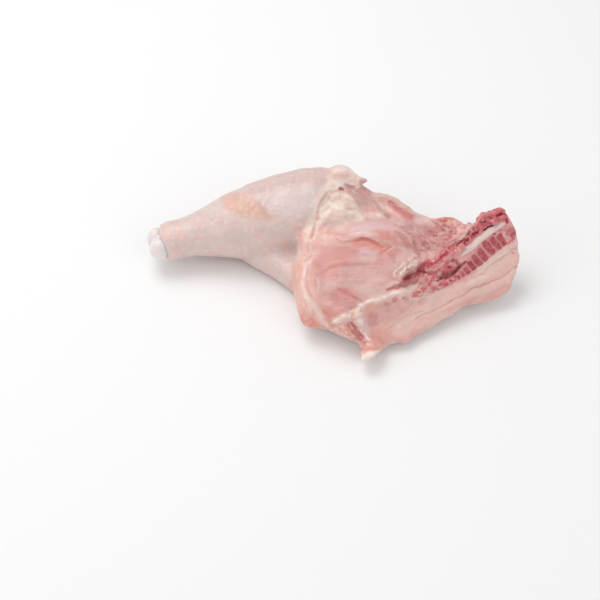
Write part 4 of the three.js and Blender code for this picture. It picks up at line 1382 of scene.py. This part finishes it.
def moist_grain():
    """Mottling, fine wrinkles and wet patches, for every tissue."""
    name = "moist_grain"
    if name in bpy.data.node_groups:
        return bpy.data.node_groups[name]
    number = "NodeSocketFloat"
    group, start, end = new_group(
        name,
        [("Vector", "NodeSocketVector", None), ("Mottle", number, 0.1), ("Grain", number, 1.0)],
        [("Tint", number), ("Height", number), ("Roughness", number)],
    )
    vector, mottle, grain = start.outputs[0], start.outputs[1], start.outputs[2]
    broad = noise_node(group, vector, BROAD_SCALE, detail=3.0)
    fine = noise_node(group, vector, FINE_SCALE, detail=4.0, distortion=0.6)
    tiny = noise_node(group, vector, TINY_SCALE, detail=2.0)
    swing = weighed(group, -0.5, (broad, BROAD_SHARE), (fine, 1 - BROAD_SHARE))
    tint = weighed(group, 1.0, (swing, product(group, mottle, MOTTLE_GAIN)))
    height = weighed(group, product(group, fine, FINE_SHARE), (tiny, 1 - FINE_SHARE))
    group.links.new(tint, end.inputs[0])
    group.links.new(product(group, height, grain), end.inputs[1])
    group.links.new(ramp(group, broad, WET_PATCHES, WET_ROUGHNESS), end.inputs[2])
    return group


def principled(name, inputs):
    """A material with one Principled shader and its values."""
    material = bpy.data.materials.new(name)
    material.use_nodes = True
    tree = material.node_tree
    shader = tree.nodes["Principled BSDF"]
    for key, value in inputs.items():
        shader.inputs[key].default_value = value
    return material, tree, shader


def wet_tissue(name, mottle, grain, changes=None):
    """A moist translucent material, and the coordinates and grain that all of them share."""
    material, tree, shader = principled(name, {**WET_TISSUE, **(changes or {})})
    place = add_node(tree, "ShaderNodeTexCoord").outputs["Object"]
    inputs = {"Vector": place, "Mottle": mottle, "Grain": grain}
    surface = add_node(tree, "ShaderNodeGroup", inputs, node_tree=moist_grain())
    tree.links.new(surface.outputs["Roughness"], shader.inputs["Roughness"])
    return material, tree, shader, place, surface


def tinted(tree, colour, tint):
    """A colour made lighter or darker by a varying value."""
    grey = add_node(tree, "ShaderNodeCombineColor", {0: tint, 1: tint, 2: tint}).outputs[0]
    return mix_colour(tree, 1.0, colour, grey, "MULTIPLY")


def spotted(tree, colour, share, tissue):
    """A colour with another tissue's laid over it by a varying share."""
    return mix_colour(tree, share, colour, opaque(linear(TISSUES[tissue])))


def bumped(tree, shader, height, distance):
    """Fine relief from a varying height, under the coat too."""
    inputs = {"Height": height, "Distance": distance, "Strength": 1.0}
    bump = add_node(tree, "ShaderNodeBump", inputs).outputs[0]
    tree.links.new(bump, shader.inputs["Normal"])
    tree.links.new(bump, shader.inputs["Coat Normal"])


def attribute(tree, name, output="Fac"):
    """A mask or colour that is kept on the mesh."""
    return add_node(tree, "ShaderNodeAttribute", attribute_name=name).outputs[output]


def flesh_material():
    """Moist skin with follicles, fibrous muscle, smooth fat and bloody shreds."""
    material, tree, shader, place, surface = wet_tissue("raw_flesh", mottle=0.09, grain=1.0)
    inputs = {"Vector": place, "Scale": FOLLICLE_SCALE, "Randomness": FOLLICLE_ORDER}
    cells = add_node(tree, "ShaderNodeTexVoronoi", inputs).outputs["Distance"]
    spots = product(tree, ramp(tree, cells, FOLLICLE_EDGE), attribute(tree, "skin"))

    inputs = {"Vector": place, "Rotation": (0, 0, FIBRE_TURN), "Scale": FIBRE_STRETCH}
    turned = add_node(tree, "ShaderNodeMapping", inputs).outputs[0]
    fibre = noise_node(tree, turned, FIBRE_SCALE, detail=3.0)
    lean = product(tree, attribute(tree, "inner"), math_node(tree, "SUBTRACT", 1.0, attribute(tree, "fat")))
    fibres = product(tree, math_node(tree, "SUBTRACT", fibre, 0.5), lean)

    shreds = noise_node(tree, place, SHRED_SCALE, detail=3.0, distortion=0.8)
    grain = attribute(tree, "grain")
    bloody = product(tree, ramp(tree, shreds, BLOODY_SHREDS), grain, BLOODY_STRENGTH)
    pale = product(tree, ramp(tree, shreds, PALE_SHREDS), grain, PALE_STRENGTH)

    colour = tinted(tree, attribute(tree, "tissue", "Color"), surface.outputs["Tint"])
    colour = spotted(tree, colour, product(tree, spots, FOLLICLE_TINT), "follicle")
    colour = spotted(tree, colour, bloody, "blood_fleck")
    colour = spotted(tree, colour, pale, "pale_fleck")
    tree.links.new(colour, shader.inputs["Base Color"])
    height = weighed(tree, surface.outputs["Height"], (spots, FOLLICLE_HEIGHT), (fibres, FIBRE_HEIGHT))
    bumped(tree, shader, height, FLESH_BUMP)
    return material


def bone_material():
    """Sawn bone, with pores where it is spongy."""
    changes = {"Subsurface Weight": 0.2}
    material, tree, shader, place, surface = wet_tissue("sawn_bone", mottle=0.18, grain=1.0, changes=changes)
    pores = add_node(tree, "ShaderNodeTexVoronoi", {"Vector": place, "Scale": PORE_SCALE}).outputs["Distance"]
    pits = product(tree, ramp(tree, pores, PORE_EDGE), attribute(tree, "spongy"))
    colour = tinted(tree, attribute(tree, "tissue", "Color"), surface.outputs["Tint"])
    colour = spotted(tree, colour, product(tree, pits, PORE_TINT), "pore")
    tree.links.new(colour, shader.inputs["Base Color"])
    bumped(tree, shader, weighed(tree, surface.outputs["Height"], (pits, -PORE_DEPTH)), BONE_BUMP)
    return material


def plain_tissue(name, colour, mottle, grain, changes):
    """A material of one tissue, mottled lighter and darker."""
    material, tree, shader, _, surface = wet_tissue(name, mottle, grain, changes)
    tree.links.new(tinted(tree, opaque(colour), surface.outputs["Tint"]), shader.inputs["Base Color"])
    bumped(tree, shader, surface.outputs["Height"], PLAIN_BUMP)
    return material


# The sawn backbone

# Red marrow between the plates of the spine: u and v of its middle, length and width, mm, in the sawn face
MARROW = (
    (69.5, 18.6, 7.8, 3.5), (65.0, 18.3, 9.6, 3.9), (60.2, 17.5, 9.2, 4.4), (54.9, 15.5, 9.0, 4.3),
    (50.2, 13.6, 8.4, 4.0), (45.9, 12.4, 6.8, 3.6), (42.0, 11.0, 5.0, 3.2), (38.6, 10.3, 3.8, 2.6),
    (35.6, 9.9, 2.6, 2.0),
)

# How far the blocks of marrow lean, how round their corners are, and how they waver, in mm
MARROW_LEAN = math.radians(18)
MARROW_CORNER = 0.4
MARROW_WAVER_ALONG = 0.5
MARROW_WAVER_UP = 0.6

# The colour of the walls and the marrow, and how much streaks and blotches change it
WALL_COLOUR = 0.6
WALL_STREAKS = 0.5
MARROW_COLOUR = 0.85
MARROW_BLOTCHES = 0.3

# How far past a marrow block, in mm, the block ends and its wall ends
BLOCK_EDGE = (0.6, -0.5)
WALL_EDGE = (1.7, 0.8)

# The nerve strand in its bed: its u, v and depth in the sawn face, in mm, and its width scale
CORD_LINE = (
    (40.5, 20.3, 2.2, 0.7), (45, 21.8, 1.5, 1.0), (50.3, 23.1, 1.2, 1.2), (56.6, 24.8, 1.2, 1.15),
    (65, 26.0, 1.2, 1.0), (75, 26.7, 1.7, 0.78),
)
STRAND_RADIUS = 2.5
BED_FILL = 0.95

# The bone between the cord's bed and the marrow: its drop below the cord, its depth and radius, in mm
BRIDGE_DROP = 2.6
BRIDGE_DEPTH = 2.4
BRIDGE_RADIUS = 2.0

# The crest of the spongy ridge: its u and v in the sawn face, in mm
RIDGE_TOP = (
    (16, 22), (20, 24), (28, 24.5), (37, 27), (46, 28.7),
    (55, 32.6), (59, 33.6), (64, 36.2), (68, 35.6), (77, 33.8),
)

# The crumbs along the ridge: how far they lie beside their place, below the crest and out of the face,
# and their radius, from and to, in mm, and how they are squashed
CRUMB_SEED = 12
CRUMB_BESIDE = (-1, 1)
CRUMB_BELOW = (-0.2, 4.5)
CRUMB_OUT = (-4, 0.7)
CRUMB_RADIUS = (0.9, 2.4)
CRUMB_SQUASH = (0.5, 1.2)
CRUMB_DETAIL = 1

# Zones of the bone in mm of the sawn face, from where they begin to where they are full: the sawn front,
# the spongy bone above the cord and along u, the wedge at the tail end and where it is meatiest, and the
# seam with the flesh
FRONT = (-2.5, -1.0)
SPONGY_ABOVE = (1.5, 4.0)
SPONGY_ALONG = (20, 36)
WEDGE = (38, 32)
MEATY = (14, 30)
SEAM = (5, 2)

# How spongy the wedge is, the meat that it has everywhere, and what is added where it is meatiest
WEDGE_SPONGE = 0.8
LEAST_MEAT = 0.3
MORE_MEAT = 0.6

# Relief of the bone in mm
CRUMBLE = 0.9
FINE_CRUMBLE = 0.3
SOLID_CRUMBLE = 0.12
SEAM_RISE = 0.15
BLOCK_RISE = 0.25
WALL_RISE = -0.1
BONE_SMOOTHING = 2

# Waver and fray of the bone's colours, how far hollows are felt for the painted shade, and how streaks are
# drawn out along u
BONE_WAVER = 0.6
SPECK_FRAY = 0.7
HOLLOW_SPREAD = 4
STREAK_STRETCH = 0.4

# Areas of the bone
BONE_AREAS = rows(
    Area,
    ("ridge",
     ((502, 205), (510, 212), (509, 223), (504, 223), (493, 229), (485, 233), (477, 239), (468, 245),
      (460, 251), (452, 258), (446, 262), (440, 258), (448, 244), (458, 236), (466, 228), (472, 220),
      (482, 211), (494, 206)), 1.5, 0, "crimson", 0.95),
    ("bridge between cord and marrow",
     ((494, 231), (503, 226), (508, 230), (506, 237), (500, 234), (493, 236.5), (485, 243.5), (477, 250),
      (469, 257), (463, 263), (458, 261), (465, 253), (478, 243)), 1.2, 0.25, "bridge", 0.9),
    ("end block", ((506, 227), (514, 227), (520, 244), (508, 245), (505, 236)), 2, 0.2, "grey_red", 0.85),
    ("white patch", ((502, 234), (507, 236), (509, 243), (504, 245)), 1.2, 0, "white_bone", 0.8),
    ("plate under the marrow",
     ((518, 243), (504, 246), (492, 256), (482, 263), (470, 274), (486, 268), (520, 250)),
     1.2, 0, "white_bone", 0.7),
)

# Strokes on the bone. The gap, the cracks and the slit are painted dark as painted shade in them
BONE_LINES = rows(
    Stroke,
    # Painted shadow in the gap over the cord, and painted shade in the cracks of the ridge
    ("gap over the cord", ((484, 230.4, 0.6), (488, 228), (492.5, 225.6, 0.6)), 0.8, -1.6, "black", 0.9),
    ("crack at the head", ((506.3, 219), (507.3, 223)), 0.6, -0.8, "dark", 0.7),
    ("first crack", ((497, 216), (500, 215), (502, 214)), 0.6, -0.6, "dark", 0.8),
    ("second crack", ((481, 222.6), (485, 221.4)), 0.7, -0.7, "dark", 0.6),
    ("third crack", ((473, 234.4), (478, 231.4)), 0.7, -0.6, "dark", 0.5),
    ("fourth crack", ((465, 241.5), (467.5, 239)), 0.7, -0.6, "dark", 0.7),
    ("fifth crack", ((488, 217), (491, 218)), 0.6, -0.5, "dark", 0.5),
    ("light crest of the ridge",
     ((465, 235, 0.7), (474, 226), (484, 215.5, 0.8)), 2.4, 0, "pink_bone", 0.35),
    ("edge of the cord's bed",
     ((503, 221, 0.6), (494, 225), (486, 230), (478, 236), (470, 243), (462, 251, 0.8)),
     0.8, 0.4, "pink_bone", 0.6),
    # Painted shade in the slit and at its bottom
    ("slit", ((447, 278, 0.5), (452, 273.5), (458, 268.5), (465.5, 262, 0.5)), 1.4, -1.5, "grey_red", 1),
    ("bottom of the slit",
     ((450.5, 275.5, 0.6), (455, 271.5), (460, 266.5, 0.7)), 0.9, -0.7, "dark", 0.95),
    ("pale strip down the wedge",
     ((460, 250, 0.7), (452, 257), (444, 264.5), (437, 271), (430, 278), (422, 286), (416, 292, 0.8)),
     1.3, 0.3, "rim", 0.8),
    ("second pale strip",
     ((440, 281, 0.7), (434, 284.5), (427, 291), (420, 297, 0.8)), 1.2, 0.1, "white_bone", 0.7),
    ("pink patch by the cord",
     ((453, 255.5, 0.8), (456, 253), (458, 251, 0.7)), 1.2, 0.2, "crimson", 0.35),
    ("row of clots in the wedge",
     ((448, 262, 0.7), (442, 267.5, 0.8), (436, 274), (431, 281, 0.7)), 1.1, -0.2, "crimson", 0.85),
    ("main clot of the wedge",
     ((447, 273.5, 0.7), (444, 276), (440, 277.5, 0.7)), 1.9, -0.3, "blood", 0.9),
    ("dusky patch by the slit", ((449, 277, 0.7), (453, 274.5, 0.7)), 1.1, 0, "grey_red", 0.6),
    ("red rim of the plate",
     ((460, 278.5, 0.6), (452, 283), (442, 289), (430, 296.5, 0.5)), 0.7, 0, "red", 0.6),
)

# Specks in the spongy bone, each painted as a stroke of the length and strength below
BONE_SPECKS = rows(
    Speck,
    (449, 267.5, 1.1, "blood"), (445, 269.5, 0.9, "crimson"), (441.3, 278.3, 0.7, "black"),
    (437, 280.4, 0.6, "dark"), (441, 284, 1.3, "crimson"), (444.5, 281, 1, "crimson"),
    (433, 288.5, 1.3, "crimson"), (429, 284, 1.1, "crimson"), (423.3, 289.5, 1.2, "crimson"),
    (415, 293.5, 1.1, "crimson"), (414, 297.5, 0.9, "crimson"), (418, 292, 0.8, "crimson"),
    (452.5, 260.5, 1.1, "blood"), (447, 261, 0.9, "crimson"), (426, 280, 0.8, "crimson"),
    (436, 292, 0.8, "crimson"), (434, 283.6, 1.1, "ligament"), (439, 273.5, 0.9, "white_bone"),
    (427, 295, 1.3, "white_bone"), (455, 277, 0.7, "marrow"), (450, 280.5, 0.7, "marrow"),
    (446, 285, 0.7, "blood"), (494, 234.4, 0.8, "dark"), (499, 231, 0.7, "crimson"),
    (503, 230, 0.7, "crimson"), (468, 263, 0.6, "dark"), (470.5, 264.5, 0.5, "dark"),
    (513, 240, 1.5, "crimson"), (511, 231, 1.3, "crimson"), (509, 237.5, 1, "pink_bone"),
    (514, 234, 0.9, "blood"), (509.5, 243, 1, "crimson"), (507.5, 240, 0.8, "pink_bone"),
    (511.5, 236, 0.7, "dark"), (466, 240, 1, "blood"), (460, 246, 0.8, "crimson"),
)
SPECK_LENGTH = 0.5
SPECK_STRENGTH = 0.85

# The dark colours of the painted shade in the cracks, the slit and the gap, which are painted once more over
# the rest
CRACK_SHADES = ("black", "grey_red", "dark")

# Mottles of the spongy ridge, the wedge and the marrow
RIDGE_MOTTLES = rows(
    Mottle,
    ("wedge", "all", 0, 1, 0.2, "rim"),
    ("ridge", "blotch", -0.1, -0.5, 0.5, "pink_bone"),
    ("ridge", "speck", 0.3, 0.6, 0.25, "dark"),
    # Painted shade in the ridge's hollows, and painted light on its peaks
    ("ridge", "hollow", 0.03, 0.16, 0.5, "dark"),
    ("ridge", "hollow", -0.02, -0.12, 0.4, "pink_bone"),
    ("ridge", "blotch", 0.15, 0.5, 0.35, "blood"),
    ("ridge", "speck", -0.3, -0.6, 0.4, "pink_bone"),
)
WEDGE_MOTTLES = rows(
    Mottle,
    ("thin meat", "streak", -0.35, 0.15, 1.0, "crimson"),
    ("thick meat", "streak", 0.3, 0.6, 0.7, "blood"),
    ("wedge", "streak", -0.2, -0.5, 0.35, "white_bone"),
)
MARROW_MOTTLES = rows(
    Mottle,
    ("wall", "all", 0, 1, 1.0, "marrow_wall"),
    ("marrow", "all", 0, 1, 1.0, "marrow"),
    ("block", "speck", 0.1, 0.6, 0.5, "blood"),
)


def height_on(line, u):
    """How high a line on the sawn face runs at each u, in mm."""
    return np.interp(u, [point[0] for point in line], [point[1] for point in line])


def marrow_mask(u, v):
    """How far each place of the sawn face lies in a block of marrow, and in the wall round it."""
    block = np.zeros(len(u))
    wall = np.zeros(len(u))
    lean_u, lean_v = math.cos(MARROW_LEAN), math.sin(MARROW_LEAN)
    for middle_u, middle_v, length, width in MARROW:
        du, dv = u - middle_u, v - middle_v
        corner = MARROW_CORNER * width
        beside = np.abs(du * lean_u + dv * lean_v) - width / 2 + corner
        above = np.abs(dv * lean_u - du * lean_v) - length / 2 + corner
        out = np.hypot(np.maximum(beside, 0), np.maximum(above, 0)) - corner
        block = np.maximum(block, smooth_step(*BLOCK_EDGE, out))
        wall = np.maximum(wall, smooth_step(*WALL_EDGE, out))
    return block, wall


def add_crumbs(bm, count):
    """Seeded crumbs of bone along the ridge."""
    rng = np.random.default_rng(CRUMB_SEED)
    start, end = RIDGE_TOP[0][0], RIDGE_TOP[-1][0]
    for share in np.linspace(0, 1, count):
        u = start + (end - start) * share + rng.uniform(*CRUMB_BESIDE)
        top = float(height_on(RIDGE_TOP, u))
        place = on_cut(u, top - rng.uniform(*CRUMB_BELOW), rng.uniform(*CRUMB_OUT))
        squash = rng.uniform(*CRUMB_SQUASH, 3)
        turn = Matrix.Rotation(rng.uniform(0, math.tau), 4, Vector(rng.normal(size=3)))
        add_ball(bm, place, rng.uniform(*CRUMB_RADIUS) * MM, squash, turn, CRUMB_DETAIL)


def carve_backbone(clay):
    """Gives the bone its relief, and gives back the masks it is painted by and how it faces the camera."""
    u, v, n = on_face(clay.points).T
    pull(clay)
    front = smooth_step(*FRONT, n)
    block, wall = marrow_mask(
        u + MARROW_WAVER_ALONG * rough(clay.points, "marrow waver along"),
        v + MARROW_WAVER_UP * rough(clay.points, "marrow waver up"),
    )
    block, wall = block * front, wall * front
    wedge = smooth_step(*WEDGE, u)
    meaty = smooth_step(*MEATY, u)
    spongy = smooth_step(*SPONGY_ABOVE, v - height_on(CORD_LINE, u)) * smooth_step(*SPONGY_ALONG, u)
    spongy = np.maximum(spongy, wedge * WEDGE_SPONGE) * (1 - wall)
    crumble = rough(clay.points, "crumble")
    sponge = CRUMBLE * crumble + FINE_CRUMBLE * rough(clay.points, "fine crumble")
    seam = SEAM_RISE * smooth_step(*SEAM, np.abs(n))
    facing = facing_camera(clay, FACING_STEEP)
    clay.push(marked(clay, BONE_AREAS, BONE_LINES + CLOTS) * facing + spongy * sponge + seam)
    clay.push(BLOCK_RISE * block + WALL_RISE * wall + SOLID_CRUMBLE * crumble)
    clay.relax(1)
    masks = {
        "spongy": spongy,
        "ridge": spongy * (1 - wedge),
        "wedge": wedge,
        "thin meat": wedge * (LEAST_MEAT + MORE_MEAT * meaty),
        "thick meat": wedge * meaty,
        "wall": wall,
        "block": block,
    }
    return masks, facing


def paint_backbone(clay, masks, facing):
    """Paints the spongy ridge with painted shade in its hollows and painted light on its peaks, then the
    wedge, the marrow, the specks, and painted shade in the cracks.
    """
    points = clay.points
    values = {
        "all": np.ones(len(points)),
        "hollow": np.sum((clay.spread(points, HOLLOW_SPREAD) - points) * clay.normals(), axis=1) / MM,
        "blotch": rough(points, "blotch"),
        "streak": rough(on_face(points) * (STREAK_STRETCH, 1, 1) * MM, "streak"),
        "speck": rough(points, "speck"),
    }
    masks["wall"] = masks["wall"] * (WALL_COLOUR + WALL_STREAKS * values["streak"])
    masks["marrow"] = masks["block"] * (MARROW_COLOUR + MARROW_BLOTCHES * values["blotch"])
    specks = [
        Stroke("speck", ((x, y), (x + SPECK_LENGTH, y)), radius, 0, tissue, SPECK_STRENGTH)
        for x, y, radius, tissue in BONE_SPECKS
    ]
    # The cracks, the slit and the gap, whose painted shade is laid once more over the rest
    cracks = [line for line in BONE_LINES if line.tissue in CRACK_SHADES]

    clay.paint(values["all"], "pink_bone")
    coloured(clay, BONE_AREAS, (), BONE_WAVER, facing)
    clay.mottle(masks, values, RIDGE_MOTTLES)
    paint_ragged(clay, seen_at(points), facing, RAGGED_ON_BONE)
    clay.mottle(masks, values, WEDGE_MOTTLES)
    coloured(clay, (), BONE_LINES + CLOTS, BONE_WAVER, facing, CLOT_FRAY)
    clay.mottle(masks, values, MARROW_MOTTLES)
    coloured(clay, (), specks, BONE_WAVER, facing, SPECK_FRAY)
    coloured(clay, (), cracks, BONE_WAVER, facing)
    clay.keep("spongy", masks["spongy"])
    clay.keep_colour()


def build_backbone(sizes):
    """Fuses the bone with the cord's bed, the bridge and the crumbs, and carves and paints it."""
    bm = solid_copy("backbone")
    bed = [(on_cut(u, v, -STRAND_RADIUS), BED_FILL) for u, v, _, _ in CORD_LINE]
    bridge = [(on_cut(u, v - BRIDGE_DROP, -BRIDGE_DEPTH), BED_FILL) for u, v, _, _ in CORD_LINE]
    add_string(bm, bed, STRAND_RADIUS * MM)
    add_string(bm, bridge, BRIDGE_RADIUS * MM)
    add_crumbs(bm, sizes.crumbs)
    piece = make_piece("sawn_backbone", bm, "backbone")
    fuse(piece, sizes.bone_cell)
    clay = Clay(piece)
    clay.relax(BONE_SMOOTHING)
    masks, facing = carve_backbone(clay)
    paint_backbone(clay, masks, facing)
    finish_piece(piece, clay, bone_material())


# The cord and the hock's gristle: how close the cord's balls lie, as a share of their radius, the rounds of
# smoothing, and the relief in mm
CORD_STEP = 0.25
CORD_SMOOTHING = 4
CORD_RELIEF = 0.2
HOCK_SMOOTHING = 8
HOCK_RELIEF = 0.25


def build_nerve(sizes, colours):
    """Makes the nerve strand that lies in the backbone."""
    bm = bmesh.new()
    path = [(on_cut(u, v, -depth), scale) for u, v, depth, scale in CORD_LINE]
    add_string(bm, path, STRAND_RADIUS * MM, CORD_STEP)
    piece = make_piece("nerve_strand", bm, "spinal_cord")
    fuse(piece, sizes.cord_cell)
    clay = Clay(piece)
    clay.relax(CORD_SMOOTHING)
    clay.push(CORD_RELIEF * rough(clay.points, "cord"))
    changes = {"Subsurface Weight": 0.4}
    material = plain_tissue("nerve", colours.nerve, mottle=0.12, grain=0.6, changes=changes)
    finish_piece(piece, clay, material)


def build_hock(sizes, colours):
    """Rounds the gristle of the hock joint."""
    piece = make_piece("hock_gristle", solid_copy("hock_joint"), "hock_joint")
    fuse(piece, sizes.bone_cell)
    clay = Clay(piece)
    clay.relax(HOCK_SMOOTHING)
    clay.push(HOCK_RELIEF * rough(clay.points, "gristle"))
    changes = {"Coat Weight": 0.6}
    material = plain_tissue("gristle", colours.gristle, mottle=0.06, grain=0.5, changes=changes)
    finish_piece(piece, clay, material)


# Floor, light and camera

# The floor's reach, where the lights aim, and the camera's sensor in mm and nearest distance
FLOOR_REACH = 4.0
FLOOR_ROUGHNESS = 0.9
LIGHT_AIM = Vector((0, 0, 0.02))
SENSOR_WIDTH = 36
CLIP_START = 0.01

# The soft lights: place, side length, and share of the key light's power
Light = namedtuple("Light", "name place side share")
LIGHTS = rows(
    Light,
    ("key", (-0.35, 0.35, 1.0), 0.7, 1.0),
    ("fill", (0.7, -0.7, 0.7), 0.9, 0.4),
    ("side", (-0.9, -0.3, 0.6), 0.9, 0.4),
)


def aimed(name, data, place, direction):
    """A lamp or camera at a place, looking in a direction."""
    thing = bpy.data.objects.new(name, data)
    thing.location = place
    thing.rotation_euler = direction.to_track_quat("-Z", "Y").to_euler()
    bpy.context.scene.collection.objects.link(thing)
    return thing


def build_stage(stage, colours):
    """Makes the floor, the room's light, the soft lights and the camera."""
    bm = bmesh.new()
    bmesh.ops.create_grid(bm, x_segments=1, y_segments=1, size=FLOOR_REACH)
    mesh = bpy.data.meshes.new("pale_floor")
    bm.to_mesh(mesh)
    bm.free()
    floor = bpy.data.objects.new("pale_floor", mesh)
    bpy.context.scene.collection.objects.link(floor)
    paint = {"Base Color": opaque(colours.floor), "Roughness": FLOOR_ROUGHNESS}
    mesh.materials.append(principled("floor_paint", paint)[0])

    scene = bpy.context.scene
    scene.view_settings.view_transform = "Standard"
    world = bpy.data.worlds.new("studio")
    scene.world = world
    world.use_nodes = True
    background = world.node_tree.nodes["Background"]
    background.inputs["Color"].default_value = (1, 1, 1, 1)
    background.inputs["Strength"].default_value = stage.world_light
    for name, place, side, share in LIGHTS:
        light = bpy.data.lights.new(name, "AREA")
        light.size = side
        light.energy = stage.key_light * share
        aimed(name, light, place, LIGHT_AIM - Vector(place))

    lens = bpy.data.cameras.new("camera")
    lens.sensor_width = SENSOR_WIDTH
    lens.lens = FOCAL_PIXELS * SENSOR_WIDTH / FRAME_PIXELS
    lens.clip_start = CLIP_START
    scene.camera = aimed("camera", lens, CAMERA_PLACE, -CAMERA_BACK)


# Settings that a user would change

class LegQuarterSizes(bpy.types.PropertyGroup):
    """Sizes of the carving."""

    rough_cell: bpy.props.FloatProperty(
        name="Rough cell", description="Face size of the first fusing", default=1.5 * MM,
        unit="LENGTH", precision=5)
    fine_cell: bpy.props.FloatProperty(
        name="Fine cell", description="Face size of the carved flesh", default=1.2 * MM,
        unit="LENGTH", precision=5)
    bone_cell: bpy.props.FloatProperty(
        name="Bone cell", description="Face size of the sawn bone and the gristle", default=0.45 * MM,
        unit="LENGTH", precision=5)
    cord_cell: bpy.props.FloatProperty(
        name="Cord cell", description="Face size of the nerve strand", default=0.4 * MM,
        unit="LENGTH", precision=5)
    smoothing: bpy.props.IntProperty(
        name="Smoothing", description="Rounds of smoothing before the carving", default=20, min=0)
    crumbs: bpy.props.IntProperty(
        name="Crumbs", description="Crumbs of bone along the ridge", default=54, min=2)


class LegQuarterColours(bpy.types.PropertyGroup):
    """Colours of the plain pieces. Those of the flesh and the bone are in the table of the tissues."""

    nerve: bpy.props.FloatVectorProperty(
        name="Nerve", description="Colour of the nerve strand", subtype="COLOR",
        default=tuple(linear(TISSUES["nerve"])), min=0, max=1)
    gristle: bpy.props.FloatVectorProperty(
        name="Gristle", description="Colour of the hock joint's gristle", subtype="COLOR",
        default=tuple(linear(TISSUES["gristle"])), min=0, max=1)
    floor: bpy.props.FloatVectorProperty(
        name="Floor", description="Colour of the floor", subtype="COLOR",
        default=(0.93, 0.93, 0.93), min=0, max=1)


class LegQuarterStage(bpy.types.PropertyGroup):
    """The light round the piece."""

    world_light: bpy.props.FloatProperty(
        name="Room light", description="Strength of the even light from all sides", default=0.6, min=0)
    key_light: bpy.props.FloatProperty(
        name="Key light", description="Power of the main soft light", default=4.7, min=0, subtype="POWER")


SETTINGS = {
    "leg_quarter_sizes": LegQuarterSizes,
    "leg_quarter_colours": LegQuarterColours,
    "leg_quarter_stage": LegQuarterStage,
}


class BuildFlesh(bpy.types.Operator):
    """Carve and colour the flesh, fat and skin"""

    bl_idname = "leg_quarter.flesh"
    bl_label = "Flesh and Skin"

    def execute(self, context):
        build_flesh(context.scene.leg_quarter_sizes)
        return {"FINISHED"}


class BuildBackbone(bpy.types.Operator):
    """Make the sawn backbone with its spongy ridge"""

    bl_idname = "leg_quarter.backbone"
    bl_label = "Sawn Backbone"

    def execute(self, context):
        build_backbone(context.scene.leg_quarter_sizes)
        return {"FINISHED"}


class BuildNerve(bpy.types.Operator):
    """Lay the pale nerve strand in the backbone"""

    bl_idname = "leg_quarter.nerve"
    bl_label = "Nerve Strand"

    def execute(self, context):
        build_nerve(context.scene.leg_quarter_sizes, context.scene.leg_quarter_colours)
        return {"FINISHED"}


class BuildHock(bpy.types.Operator):
    """Round and finish the gristle of the hock joint"""

    bl_idname = "leg_quarter.hock"
    bl_label = "Hock Gristle"

    def execute(self, context):
        build_hock(context.scene.leg_quarter_sizes, context.scene.leg_quarter_colours)
        return {"FINISHED"}


class BuildStage(bpy.types.Operator):
    """Set the pale floor, the soft lights and the camera"""

    bl_idname = "leg_quarter.stage"
    bl_label = "Studio"

    def execute(self, context):
        build_stage(context.scene.leg_quarter_stage, context.scene.leg_quarter_colours)
        return {"FINISHED"}


OPERATORS = (BuildFlesh, BuildBackbone, BuildNerve, BuildHock, BuildStage)


class LegQuarterPanel(bpy.types.Panel):
    """The settings, and the pieces in the order in which they are made"""

    bl_idname = "VIEW3D_PT_leg_quarter"
    bl_label = "Leg Quarter"
    bl_space_type = "VIEW_3D"
    bl_region_type = "UI"
    bl_category = "Leg Quarter"

    def draw(self, context):
        for key in SETTINGS:
            settings = getattr(context.scene, key)
            column = self.layout.column(align=True)
            for name in settings.__annotations__:
                column.prop(settings, name)
        for operator in OPERATORS:
            self.layout.operator(operator.bl_idname)


CLASSES = (*SETTINGS.values(), *OPERATORS, LegQuarterPanel)


def register():
    """Registers the classes and hangs the settings on the scene."""
    for cls in CLASSES:
        bpy.utils.register_class(cls)
    for key, settings in SETTINGS.items():
        setattr(bpy.types.Scene, key, bpy.props.PointerProperty(type=settings))


def unregister():
    """Takes the settings off the scene and unregisters the classes."""
    for key in SETTINGS:
        delattr(bpy.types.Scene, key)
    for cls in reversed(CLASSES):
        bpy.utils.unregister_class(cls)


def main():
    """Builds all of it."""
    register()
    for operator in OPERATORS:
        group, name = operator.bl_idname.split(".")
        getattr(getattr(bpy.ops, group), name)()


if __name__ == "__main__":
    main()
